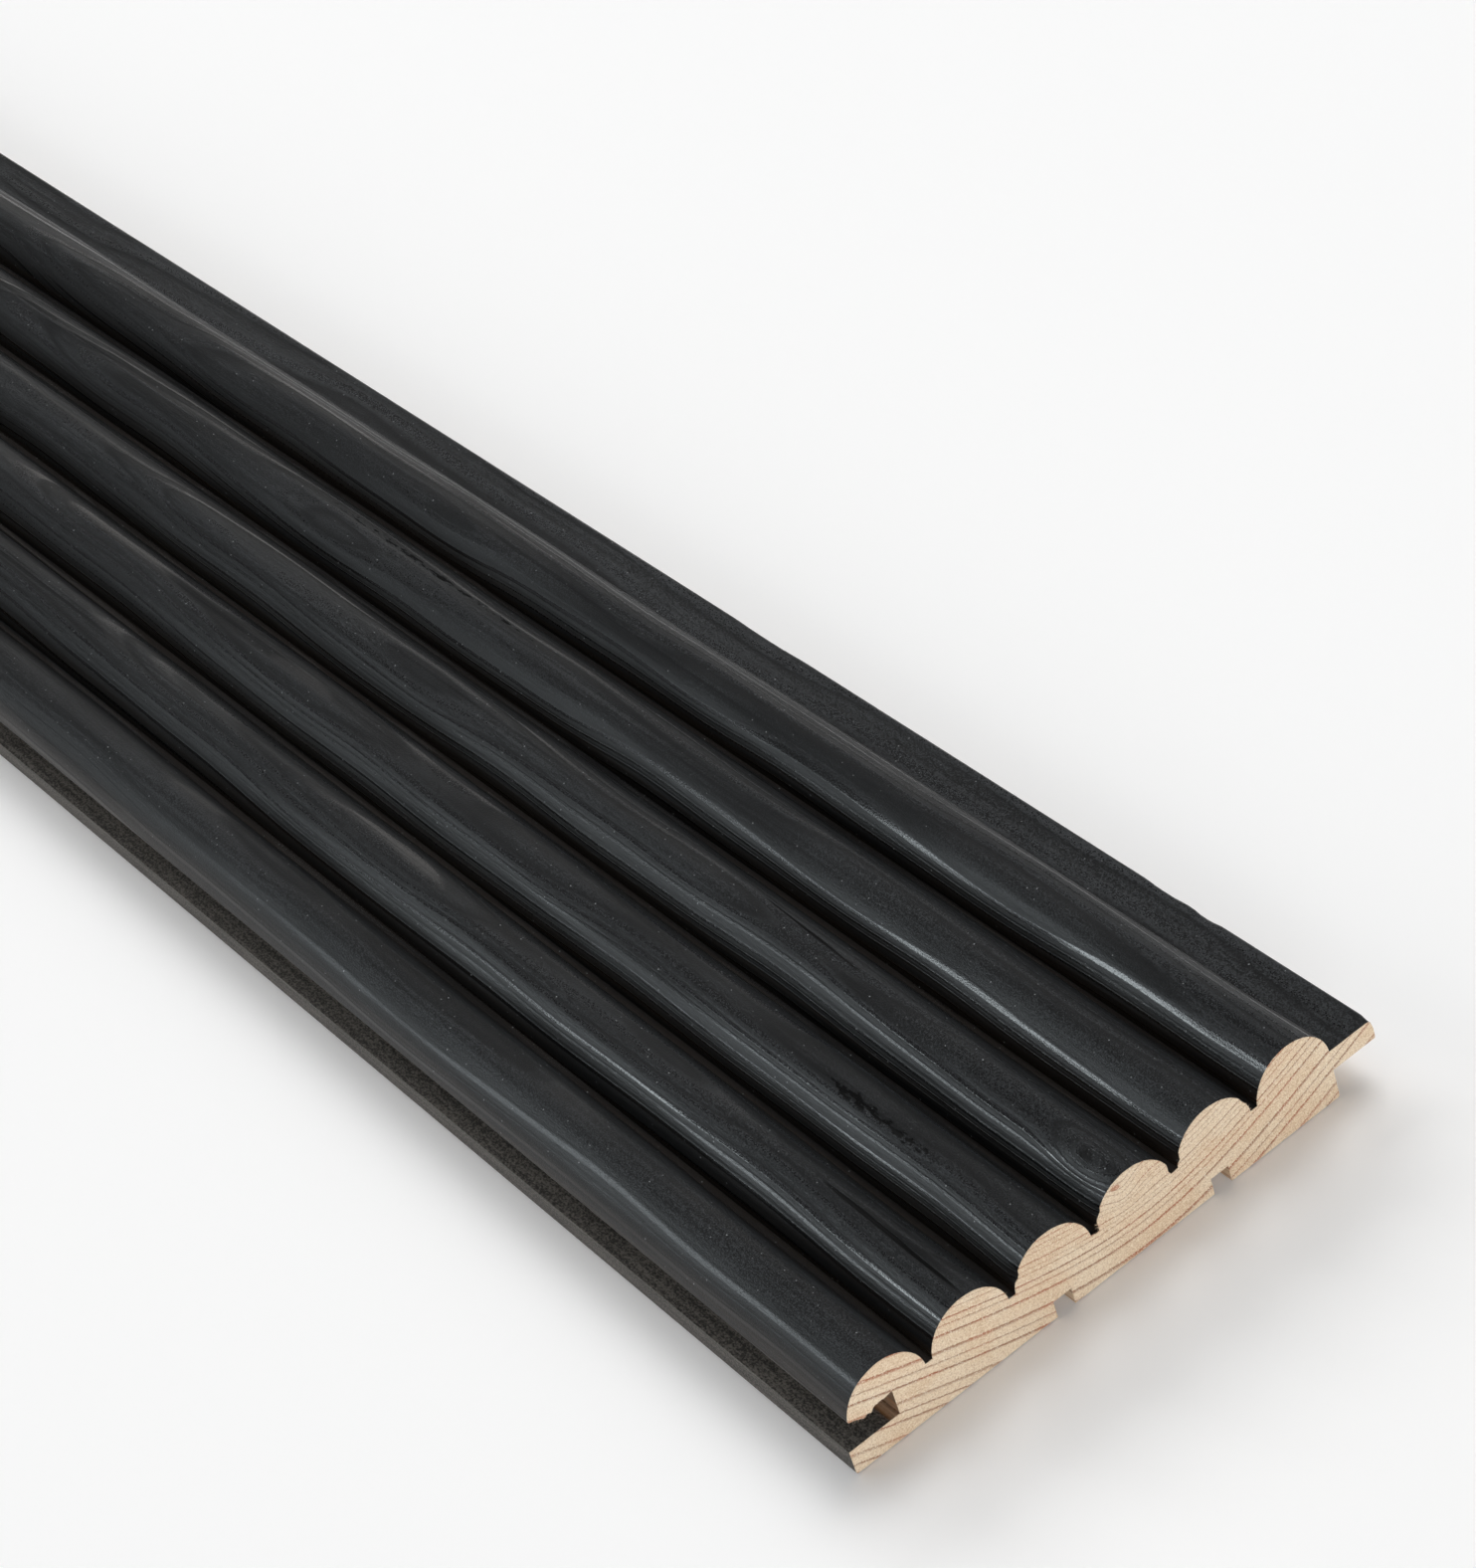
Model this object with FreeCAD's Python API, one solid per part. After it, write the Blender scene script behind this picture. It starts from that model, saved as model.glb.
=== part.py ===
import FreeCAD, Part
import os
from math import sqrt

# Reeded tongue and groove board, one sawn and planed piece of softwood.
# X runs along the board, Y across it from the grooved edge to the tongue, Z from the back to the face.
# The origin is under the middle of the board, on the plane of its back.

# Overall lengths in millimetres
BOARD_LENGTH = 2400.0
COVER_WIDTH = 110.0

# Reeded face
REED_COUNT = 6
REED_HEIGHT = 7.7
VALLEY_WIDTH = 1.5

# Tongue, and how far its top lies under the valley floors
TONGUE_REACH = 10.0
TONGUE_THICKNESS = 4.5
TONGUE_DROP = 0.3

# Groove for the next board's tongue, by the clearances round that tongue
LOWER_LIP_THICKNESS = 5.5
FACE_CLEARANCE = 0.2
BACK_CLEARANCE = 1.0
END_CLEARANCE = 1.0

# Relief grooves in the back, and how far their middle lies from the cover width's middle
RELIEF_COUNT = 2
RELIEF_WIDTH = 4.0
RELIEF_DEPTH = 3.7
RELIEF_SPACING = 36.0
RELIEF_OFFSET = 9.5

# Rounded long edges
TONGUE_FACE_RADIUS = 0.8
TONGUE_BACK_RADIUS = 0.3
UPPER_LIP_RADIUS = 0.6
BACK_EDGE_RADIUS = 0.5

# How near an edge has to lie to the place it is looked up by
NEAR = 1e-4

# Heights over the back, which add up from the lower lip to the crests
groove_floor = LOWER_LIP_THICKNESS
tongue_back = groove_floor + BACK_CLEARANCE
tongue_top = tongue_back + TONGUE_THICKNESS
groove_ceiling = tongue_top + FACE_CLEARANCE
valley_floor = tongue_top + TONGUE_DROP
crest = valley_floor + REED_HEIGHT

# Places across the board
total_width = COVER_WIDTH + TONGUE_REACH
lip_edge = -total_width / 2
shoulder = lip_edge + COVER_WIDTH
tongue_tip = shoulder + TONGUE_REACH
groove_wall = lip_edge + TONGUE_REACH + END_CLEARANCE
relief_middle = lip_edge + COVER_WIDTH / 2 + RELIEF_OFFSET

# A reed is an arc through its two feet and its crest
reed_pitch = COVER_WIDTH / REED_COUNT
reed_half_width = (reed_pitch - VALLEY_WIDTH) / 2
reed_radius = (reed_half_width ** 2 + REED_HEIGHT ** 2) / (2 * REED_HEIGHT)
reed_axis_height = crest - reed_radius


def point(y, z):
    """Place in the section at the board's sawn end."""
    return FreeCAD.Vector(-BOARD_LENGTH / 2, y, z)


def reed_middle(index):
    """Distance across the board of one reed's crest, counted from the grooved edge."""
    return lip_edge + VALLEY_WIDTH + reed_half_width + index * reed_pitch


def reed_half_width_at(height):
    """Half of a reed's width at a height over the back."""
    return sqrt(reed_radius ** 2 - (height - reed_axis_height) ** 2)


def upper_lip_edge():
    """Distance across the board of the corner where the first reed meets the groove's ceiling."""
    return reed_middle(0) - reed_half_width_at(groove_ceiling)


def chain(points):
    """Straight edges from each point to the next one."""
    return [Part.makeLine(start, end) for start, end in zip(points, points[1:])]


def face_edges():
    """The reeds with the flat valleys between them, from the upper lip to the shoulder."""
    edges = []
    foot = point(upper_lip_edge(), groove_ceiling)
    for index in range(REED_COUNT):
        middle = reed_middle(index)
        far_foot = point(middle + reed_half_width, valley_floor)
        edges.append(Part.Arc(foot, point(middle, crest), far_foot).toShape())
        foot = far_foot
        if index < REED_COUNT - 1:
            foot = point(reed_middle(index + 1) - reed_half_width, valley_floor)
            edges += chain([far_foot, foot])
    return edges


def tongue_edges():
    """The tongue, from the last reed's foot down to the back's edge under the shoulder."""
    return chain([
        point(shoulder, valley_floor),
        point(shoulder, tongue_top),
        point(tongue_tip, tongue_top),
        point(tongue_tip, tongue_back),
        point(shoulder, tongue_back),
        point(shoulder, 0.0),
    ])


def back_edges():
    """The back with its relief grooves, from the shoulder to the lower lip."""
    corners = [point(shoulder, 0.0)]
    for index in reversed(range(RELIEF_COUNT)):
        middle = relief_middle + (index - (RELIEF_COUNT - 1) / 2) * RELIEF_SPACING
        near_wall = middle + RELIEF_WIDTH / 2
        far_wall = middle - RELIEF_WIDTH / 2
        corners += [
            point(near_wall, 0.0),
            point(near_wall, RELIEF_DEPTH),
            point(far_wall, RELIEF_DEPTH),
            point(far_wall, 0.0),
        ]
    corners.append(point(lip_edge, 0.0))
    return chain(corners)


def groove_edges():
    """The groove, from the lower lip's back corner round to the upper lip."""
    return chain([
        point(lip_edge, 0.0),
        point(lip_edge, groove_floor),
        point(groove_wall, groove_floor),
        point(groove_wall, groove_ceiling),
        point(upper_lip_edge(), groove_ceiling),
    ])


def long_edge(solid, y, z):
    """The edge that runs along the board at one place of the section."""
    for edge in solid.Edges:
        if all(abs(v.Y - y) < NEAR and abs(v.Z - z) < NEAR for v in edge.Vertexes):
            return edge
    raise ValueError(f"no long edge at y {y}, z {z}")


def round_long_edges(solid):
    """The tongue's tip, the upper lip and the back's outer edges, rounded."""
    corners = [
        (tongue_tip, tongue_top, TONGUE_FACE_RADIUS),
        (tongue_tip, tongue_back, TONGUE_BACK_RADIUS),
        (upper_lip_edge(), groove_ceiling, UPPER_LIP_RADIUS),
        (shoulder, 0.0, BACK_EDGE_RADIUS),
        (lip_edge, 0.0, BACK_EDGE_RADIUS),
    ]
    for y, z, radius in corners:
        solid = solid.makeFillet(radius, [long_edge(solid, y, z)])
    return solid


def make_board():
    """The section run along the board's length, with its long edges rounded."""
    section = Part.Wire(face_edges() + tongue_edges() + back_edges() + groove_edges())
    prism = Part.Face(section).extrude(FreeCAD.Vector(BOARD_LENGTH, 0, 0))
    return round_long_edges(prism)


os.makedirs("parts", exist_ok=True)
board = make_board()
board.exportStep("parts/board.step")
box = board.BoundBox
print(f"board {box.XLength:.2f} x {box.YLength:.2f} x {box.ZLength:.2f} mm,",
      f"{len(board.Solids)} solid, valid {board.isValid()}, reed radius {reed_radius:.3f} mm")
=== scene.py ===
"""Looks of a reeded tongue and groove board: black stain over softwood, sawn bare at its ends.

The board lies flat on the floor with its reeded face up. X runs along it, Y across it from the grooved edge
to the tongue, Z from its back to its face. Sizes are in millimetres, and meshes are turned to metres last.
"""

import logging
import math
from dataclasses import dataclass, field
from enum import Enum
from functools import reduce
from typing import Any, Union

import bpy
import numpy as np
from mathutils import Matrix, Vector
from mathutils.geometry import delaunay_2d_cdt

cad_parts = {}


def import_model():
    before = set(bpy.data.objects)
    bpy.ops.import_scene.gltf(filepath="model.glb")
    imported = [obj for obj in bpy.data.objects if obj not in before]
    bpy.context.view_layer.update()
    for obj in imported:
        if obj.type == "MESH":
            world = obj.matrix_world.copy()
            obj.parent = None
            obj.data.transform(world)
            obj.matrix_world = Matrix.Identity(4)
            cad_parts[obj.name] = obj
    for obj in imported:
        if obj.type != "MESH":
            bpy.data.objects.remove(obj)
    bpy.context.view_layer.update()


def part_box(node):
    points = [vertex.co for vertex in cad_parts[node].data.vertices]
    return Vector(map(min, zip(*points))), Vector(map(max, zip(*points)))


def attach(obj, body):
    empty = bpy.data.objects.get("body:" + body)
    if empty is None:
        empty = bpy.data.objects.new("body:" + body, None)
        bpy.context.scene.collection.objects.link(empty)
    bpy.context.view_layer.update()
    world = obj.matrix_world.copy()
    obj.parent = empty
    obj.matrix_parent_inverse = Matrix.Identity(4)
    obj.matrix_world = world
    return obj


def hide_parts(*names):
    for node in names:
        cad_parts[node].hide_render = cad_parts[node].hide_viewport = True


MM = 0.001
BOARD_NODE = "board"
BODY = "root"
# The stain attribute also carries the part stain that paints shade in the groove.
STAIN_ATTRIBUTE = "stain"
RINGS_ATTRIBUTE = "rings"
KNOT_ATTRIBUTE = "knot"
STREAK_ATTRIBUTE = "streak"
OUTWARD_ATTRIBUTE = "outward"
TEAR_ATTRIBUTE = "tear"
BAKE_MAP = "OFBake"
PHOTO_WIDTH = 1484
PHOTO_HEIGHT = 1576

Colour = tuple[float, float, float]
Corner = tuple[float, float]
Span = tuple[float, float]
COLOUR_INPUTS = (6, 7)  # where a Mix node that is set to colours has them
COLOUR_OUTPUT = 2
WHITE: Colour = (1.0, 1.0, 1.0)
WARM: Colour = (1.0, 0.955, 0.91)
COOL: Colour = (0.87, 0.96, 1.0)

log = logging.getLogger("board")


class Zone(Enum):
    """The stretches of the board's outline."""

    REED = "reed"
    VALLEY = "valley"
    TONGUE_TOP = "tongue top"
    TONGUE_TIP = "tongue tip"
    TONGUE_BACK = "tongue back"
    SHOULDER = "shoulder"
    BACK = "back"
    RELIEF = "relief"
    LIP_EDGE = "lip edge"
    GROOVE_FLOOR = "groove floor"
    GROOVE_WALL = "groove wall"
    GROOVE_CEILING = "groove ceiling"


STAINED = (Zone.REED, Zone.VALLEY, Zone.TONGUE_TOP, Zone.TONGUE_TIP)


class Value:
    """A float socket that takes part in Python arithmetic, adding its Math nodes to the tree."""

    def __init__(self, tree: "NodeTree", socket: bpy.types.NodeSocket) -> None:
        """Keeps the socket and the tree that it is in."""
        self.tree = tree
        self.socket = socket

    def math(self, operation: str, *others: "Number") -> "Value":
        """Adds a Math node.

        Args:
            operation: The node's operation, such as MULTIPLY.
            others: The operands after this value.

        Returns:
            The node's result.
        """
        return self.tree.value("ShaderNodeMath", {"operation": operation}, dict(enumerate((self, *others))))

    def __add__(self, other: "Number") -> "Value":
        """This value plus another."""
        return self.math("ADD", other)

    __radd__ = __add__

    def __mul__(self, other: "Number") -> "Value":
        """This value times another."""
        return self.math("MULTIPLY", other)

    __rmul__ = __mul__

    def __sub__(self, other: "Number") -> "Value":
        """This value less another."""
        return self.math("SUBTRACT", other)

    def __rsub__(self, other: float) -> "Value":
        """A number less this value."""
        return (self * -1.0) + other

    def __neg__(self) -> "Value":
        """This value with its sign turned."""
        return self * -1.0


Number = Union[float, Value]
Field = Union[np.ndarray, Value]


def opaque(colour: Colour) -> tuple[float, ...]:
    """A colour with the fourth number that Blender's colour sockets hold."""
    return (*colour, 1.0)


def sine(value: Field) -> Field:
    """Sine of an array or a socket, in radians."""
    return value.math("SINE") if isinstance(value, Value) else np.sin(value)


def fraction(value: Field) -> Field:
    """What an array or a socket has past its whole number."""
    return value.math("FRACT") if isinstance(value, Value) else value - np.floor(value)


def whole(value: Field) -> Field:
    """The whole number under an array or a socket."""
    return value.math("FLOOR") if isinstance(value, Value) else np.floor(value)


def larger(value: Field, other: Union[float, Field]) -> Field:
    """The larger of two arrays or sockets, or of one of them and a number."""
    return value.math("MAXIMUM", other) if isinstance(value, Value) else np.maximum(value, other)


def bell(squared: Field) -> Field:
    """1 where a squared distance is 0, falling off softly as it grows."""
    return (-squared).math("EXPONENT") if isinstance(squared, Value) else np.exp(-squared)


def root(value: Field) -> Field:
    """Square root of an array or a socket."""
    return value.math("SQRT") if isinstance(value, Value) else np.sqrt(value)


def step(value: Field, low: float, high: float) -> Field:
    """A smooth step from 0 at low to 1 at high, or down from 1 to 0 where low is the larger.

    Args:
        value: Array or socket.
        low: Where the step gives 0.
        high: Where the step gives 1.

    Returns:
        The step's height, of the value's kind.
    """
    if isinstance(value, Value):
        settings = {"interpolation_type": "SMOOTHSTEP"}
        if low < high:
            ends = {"From Min": low, "From Max": high}
            return value.tree.value("ShaderNodeMapRange", settings, {"Value": value, **ends})
        ends = {"From Min": high, "From Max": low}
        return 1.0 - value.tree.value("ShaderNodeMapRange", settings, {"Value": value, **ends})
    share = np.clip((value - low) / (high - low), 0.0, 1.0)
    return share * share * (3.0 - 2.0 * share)


def ramp(value: Field, low: float, high: float) -> Field:
    """A straight slope from 0 at low to 1 at high, level past both, or falling where low is the larger."""
    share = (value - low) * (1.0 / (high - low))
    return -larger(-larger(share, 0.0), -1.0)


class NodeTree:
    """A node tree of any kind, with the one method that makes every node."""

    def __init__(self, tree: bpy.types.NodeTree) -> None:
        """Empties the tree and keeps it."""
        self.tree = tree
        self.tree.nodes.clear()

    def node(self, kind: str, settings: dict[str, Any] | None = None,
             inputs: dict[Any, Any] | None = None) -> bpy.types.Node:
        """Adds a node.

        Args:
            kind: The node's type.
            settings: Attributes that are set before the sockets.
            inputs: Numbers, values or sockets, by the input's name or number.

        Returns:
            The new node.
        """
        node = self.tree.nodes.new(kind)
        for name, value in (settings or {}).items():
            setattr(node, name, value)
        for name, value in (inputs or {}).items():
            if isinstance(value, Value):
                value = value.socket
            if isinstance(value, bpy.types.NodeSocket):
                self.tree.links.new(value, node.inputs[name])
            else:
                node.inputs[name].default_value = value
        return node

    def socket(self, kind: str, settings: dict[str, Any], inputs: dict[Any, Any],
               output: int | str = 0) -> bpy.types.NodeSocket:
        """Adds a node and gives one of its outputs."""
        return self.node(kind, settings, inputs).outputs[output]

    def value(self, kind: str, settings: dict[str, Any], inputs: dict[Any, Any],
              output: int | str = 0) -> Value:
        """Adds a node and wraps one of its outputs for arithmetic."""
        return Value(self, self.socket(kind, settings, inputs, output))


@dataclass(frozen=True)
class Grain:
    """One kind of noise in the wood.

    Attributes:
        waves: Waves to each millimetre along each axis.
        detail: Octaves of finer noise.
        roughness: Strength of the finer octaves.
        shift: Offset that gives another pattern of the same kind.
    """

    waves: tuple[float, float, float]
    detail: float
    roughness: float
    shift: float


class ShaderTree(NodeTree):
    """A finish's node tree, which knows each place on the board in millimetres."""

    def __init__(self, name: str) -> None:
        """Starts an empty material.

        Args:
            name: The material's name.
        """
        self.material = bpy.data.materials.new(name)
        self.material.use_nodes = True
        super().__init__(self.material.node_tree)
        metres = self.socket("ShaderNodeTexCoord", {}, {}, "Object")
        self.place = self.socket("ShaderNodeVectorMath", {"operation": "SCALE"}, {
            0: metres, "Scale": 1.0 / MM,
        })
        axes = self.node("ShaderNodeSeparateXYZ", {}, {0: self.place})
        self.x, self.y, self.z = (Value(self, socket) for socket in axes.outputs)

    def mix(self, share: Number, first: Any, second: Any) -> bpy.types.NodeSocket:
        """Mixes two colours.

        Args:
            share: How much of the second colour shows.
            first: Colour or socket.
            second: Colour or socket.

        Returns:
            The mixed colour's socket.
        """
        colours = [c if isinstance(c, bpy.types.NodeSocket) else opaque(c) for c in (first, second)]
        inputs = {"Factor": share, **dict(zip(COLOUR_INPUTS, colours))}
        return self.socket("ShaderNodeMix", {"data_type": "RGBA"}, inputs, COLOUR_OUTPUT)

    def noise(self, grain: Grain, turn: float = 0.0) -> Value:
        """Noise on the object's own place.

        Args:
            grain: The noise's kind.
            turn: Angle in radians that it is turned by round the board's length.

        Returns:
            The noise, about 0 to 1.
        """
        place = self.socket("ShaderNodeMapping", {}, {
            "Vector": self.place, "Location": (grain.shift,) * 3, "Rotation": (turn, 0.0, 0.0),
            "Scale": grain.waves,
        })
        return self.value("ShaderNodeTexNoise", {}, {
            "Vector": place, "Scale": 1.0, "Detail": grain.detail, "Roughness": grain.roughness,
        })

    def given(self, name: str) -> Value:
        """A number that the mesh carries at its points."""
        return self.value("ShaderNodeAttribute", {"attribute_name": name}, {}, "Fac")

    def finish(self, colour: Any, roughness: Number, height: Value, gloss: float) -> bpy.types.Material:
        """Adds the surface shader and closes the tree.

        Args:
            colour: Base colour's socket.
            roughness: Roughness, as a number or a value.
            height: Fine relief in millimetres.
            gloss: Level of the mirror reflection.

        Returns:
            The material.
        """
        bump = self.socket("ShaderNodeBump", {}, {"Strength": 1.0, "Distance": MM, "Height": height})
        surface = self.socket("ShaderNodeBsdfPrincipled", {}, {
            "Base Color": colour, "Roughness": roughness, "Specular IOR Level": gloss, "Normal": bump,
        })
        self.node("ShaderNodeOutputMaterial", {}, {"Surface": surface})
        return self.material


@dataclass(frozen=True)
class Spot:
    """A soft, long spot on the board, such as a knot or a scar, for the mesh and the finishes alike."""

    x: float
    y: float
    length: float
    width: float
    slant: float = 0.0
    strength: float = 1.0
    lowest: float = -30.0

    def closeness(self, x: Field, y: Field, z: Field) -> Field:
        """How near places are to the spot's middle, from 0 far off to 1.

        Args:
            x: Places along the board.
            y: Places across the board.
            z: Heights over the back.

        Returns:
            The closeness at each place.
        """
        from_middle = x - self.x
        along = from_middle * (1.0 / self.length)
        across = (y - self.y - from_middle * self.slant) * (1.0 / self.width)
        near = bell(along * along + across * across)
        return near * step(z, self.lowest, self.lowest + 6.0) if self.lowest > 0.0 else near


@dataclass(frozen=True)
class PinKnot:
    """A small knot that the face cuts across: the rings pass round it, and it has rings of its own."""

    bend: Spot
    eye_x: float
    eye_y: float
    eye_length: float = 1.75
    eye_width: float = 1.0
    ring_spacing: float = 0.62
    ring_height: float = 0.025

    def away(self, x: Field, y: Field) -> Field:
        """How far places are from the eye's middle, in the eye's own widths.

        Args:
            x: Places along the board.
            y: Places across the board.

        Returns:
            The distances.
        """
        along = (x - self.eye_x) * (1.0 / self.eye_length)
        across = (y - self.eye_y) * (1.0 / self.eye_width)
        return root(along * along + across * across)

    def rings_height(self, away: Field) -> Field:
        """Height of the knot's own rings over places, by their distance from its middle."""
        fade = step(away, 3.4, 1.4) * step(away, 0.5, 1.1)
        return sine(away * (math.tau / self.ring_spacing) * 0.62) * fade * self.ring_height


@dataclass(frozen=True)
class Wave:
    """One slow wave of the rings along the board, with the way it shifts from reed to reed."""

    height: float
    length: float
    lean: float
    start: float

    def at(self, x: np.ndarray, y: np.ndarray) -> np.ndarray:
        """The wave's height over places."""
        return np.sin(x * (math.tau / self.length) + y * self.lean + self.start) * self.height


@dataclass(frozen=True)
class YearRings:
    """The log's year rings, which the mesh's relief and the finishes share."""

    middle: float = 6.0
    flank_slope: float = 0.45
    crown: float = 28.0
    wide_spacing: float = 2.6
    narrow_spacing: float = 1.35
    narrow_from: float = 6.4
    drift: float = 0.0035
    near_end: float = 1200.0
    face_foot: float = 12.3
    waves: tuple[Wave, ...] = (
        Wave(1.5, 830.0, 0.012, 0.4),
        Wave(0.6, 246.0, 0.035, 2.2),
        Wave(0.32, 92.0, -0.11, 4.1),
        Wave(0.1, 47.0, 0.17, 1.3),
    )
    pin_knot: PinKnot = PinKnot(Spot(1193.0, 3.2, 8.5, 3.4, strength=-4.2, lowest=9.0), 1191.6, 3.1)
    knots: tuple[Spot, ...] = (
        Spot(1008.0, -8.0, 30.0, 6.0, strength=1.6, lowest=8.0),
        Spot(742.0, 31.0, 26.0, 9.0, strength=6.0),
        Spot(96.0, -27.0, 30.0, 10.0, strength=8.0),
        Spot(-611.0, 18.0, 24.0, 8.0, strength=6.5),
    )

    def level(self, x: np.ndarray, y: np.ndarray, z: np.ndarray) -> np.ndarray:
        """Names the ring surface through each place by its height at the rings' lowest line.

        Args:
            x: Places along the board.
            y: Places across the board.
            z: Heights over the back.

        Returns:
            The levels, in millimetres.
        """
        across = y - self.middle
        bow = (np.sqrt(across * across + self.crown ** 2) - self.crown) * self.flank_slope
        level = z - bow + (x - self.near_end) * self.drift
        end = np.full_like(x, self.near_end)
        for wave in self.waves:
            level = level + wave.at(x, y) - wave.at(end, y)
        for knot in self.knots:
            level = level - knot.closeness(x, y, z) * knot.strength
        return level

    def bent(self, level: Field, x: Field, y: Field, z: Field) -> Field:
        """A level with the pin knot's pull on it, which is too fine for the mesh to carry."""
        return level - self.pin_knot.bend.closeness(x, y, z) * self.pin_knot.bend.strength

    def knot_share(self, x: np.ndarray, y: np.ndarray, z: np.ndarray) -> np.ndarray:
        """How near places are to the nearest knot that goes right through, from 0 to 1."""
        through = [knot.closeness(x, y, z) for knot in self.knots if knot.lowest < 0.0]
        return np.maximum.reduce(through)

    def count(self, level: Field) -> Field:
        """Rings counted up to a level, uneven in width and closer towards the pith.

        Args:
            level: Levels of the ring surfaces, in millimetres.

        Returns:
            The counts, whole at the end of each ring.
        """
        above = level - self.narrow_from
        closer = 1.0 / self.narrow_spacing - 1.0 / self.wide_spacing
        count = above * (1.0 / self.wide_spacing) + larger(above, 0.0) * closer
        return count + sine(count * 2.1 + 0.6) * 0.2

    def latewood(self, count: Field) -> Field:
        """The dark, hard line at the end of each ring, from 0 to 1."""
        share = fraction(count)
        return step(share, 0.68, 0.92) * step(share, 1.0, 0.96)

    def raised(self, count: Field) -> Field:
        """The narrow ridge that each hard line leaves in the planed face, from 0 to 1."""
        share = fraction(count)
        return ramp(share, 0.62, 0.72) * ramp(share, 1.0, 0.93)

    def hollow(self, count: Field) -> Field:
        """The soft, dark wood just after each hard line, from 0 to 1."""
        share = fraction(count)
        return ramp(share, 0.0, 0.08) * ramp(share, 0.34, 0.12)

    def strength(self, count: Field) -> Field:
        """How strongly a ring shows beside the others."""
        ring = whole(count)
        return sine(ring * 2.4 + 1.0) * 0.22 + 0.78

    def ridge(self, count: Field) -> Field:
        """A soft swell over each ring's hard line, from 0 to 1."""
        return sine((count - 0.58) * math.tau) * 0.5 + 0.5


@dataclass(frozen=True)
class Section:
    """The board's section, as it was planed. Heights add up from the back."""

    cover_width: float = 110.0
    reed_count: int = 6
    reed_height: float = 7.7
    valley_width: float = 1.5
    tongue_reach: float = 10.0
    tongue_thickness: float = 4.5
    tongue_drop: float = 0.3
    lower_lip: float = 5.5
    face_clearance: float = 0.2
    back_clearance: float = 1.0
    end_clearance: float = 1.0
    relief_width: float = 4.0
    relief_depth: float = 3.7
    relief_spacing: float = 36.0
    relief_offset: float = 9.5
    tongue_face_radius: float = 0.8
    tongue_back_radius: float = 0.3
    upper_lip_radius: float = 0.6
    back_edge_radius: float = 0.5
    reed_step: float = 0.78
    torn_step: float = 0.42
    fine_step: float = 0.8
    plain_step: float = 3.0

    @property
    def lip_edge(self) -> float:
        """Where the lower lip ends."""
        return -(self.cover_width + self.tongue_reach) / 2

    @property
    def shoulder(self) -> float:
        """Where the tongue starts."""
        return self.lip_edge + self.cover_width

    @property
    def tongue_back(self) -> float:
        """Height of the tongue's underside."""
        return self.lower_lip + self.back_clearance

    @property
    def tongue_top(self) -> float:
        """Height of the tongue's top."""
        return self.tongue_back + self.tongue_thickness

    @property
    def valley_floor(self) -> float:
        """Height of the valleys' floors."""
        return self.tongue_top + self.tongue_drop

    @property
    def crest(self) -> float:
        """Height of the reeds' crests."""
        return self.valley_floor + self.reed_height

    @property
    def groove_ceiling(self) -> float:
        """Height of the groove's ceiling."""
        return self.tongue_top + self.face_clearance

    @property
    def groove_wall(self) -> float:
        """Where the groove ends inside the board."""
        return self.lip_edge + self.tongue_reach + self.end_clearance

    @property
    def reed_half(self) -> float:
        """Half of a reed's width at its foot."""
        return (self.cover_width / self.reed_count - self.valley_width) / 2

    @property
    def reed_radius(self) -> float:
        """Radius of a reed's arc."""
        return (self.reed_half ** 2 + self.reed_height ** 2) / (2 * self.reed_height)

    @property
    def reed_axis(self) -> float:
        """Height of the reeds' arc centres."""
        return self.crest - self.reed_radius

    def reed_middle(self, index: int) -> float:
        """Where a reed's crest is, counted from the grooved edge."""
        pitch = self.cover_width / self.reed_count
        return self.lip_edge + self.valley_width + self.reed_half + index * pitch


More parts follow.
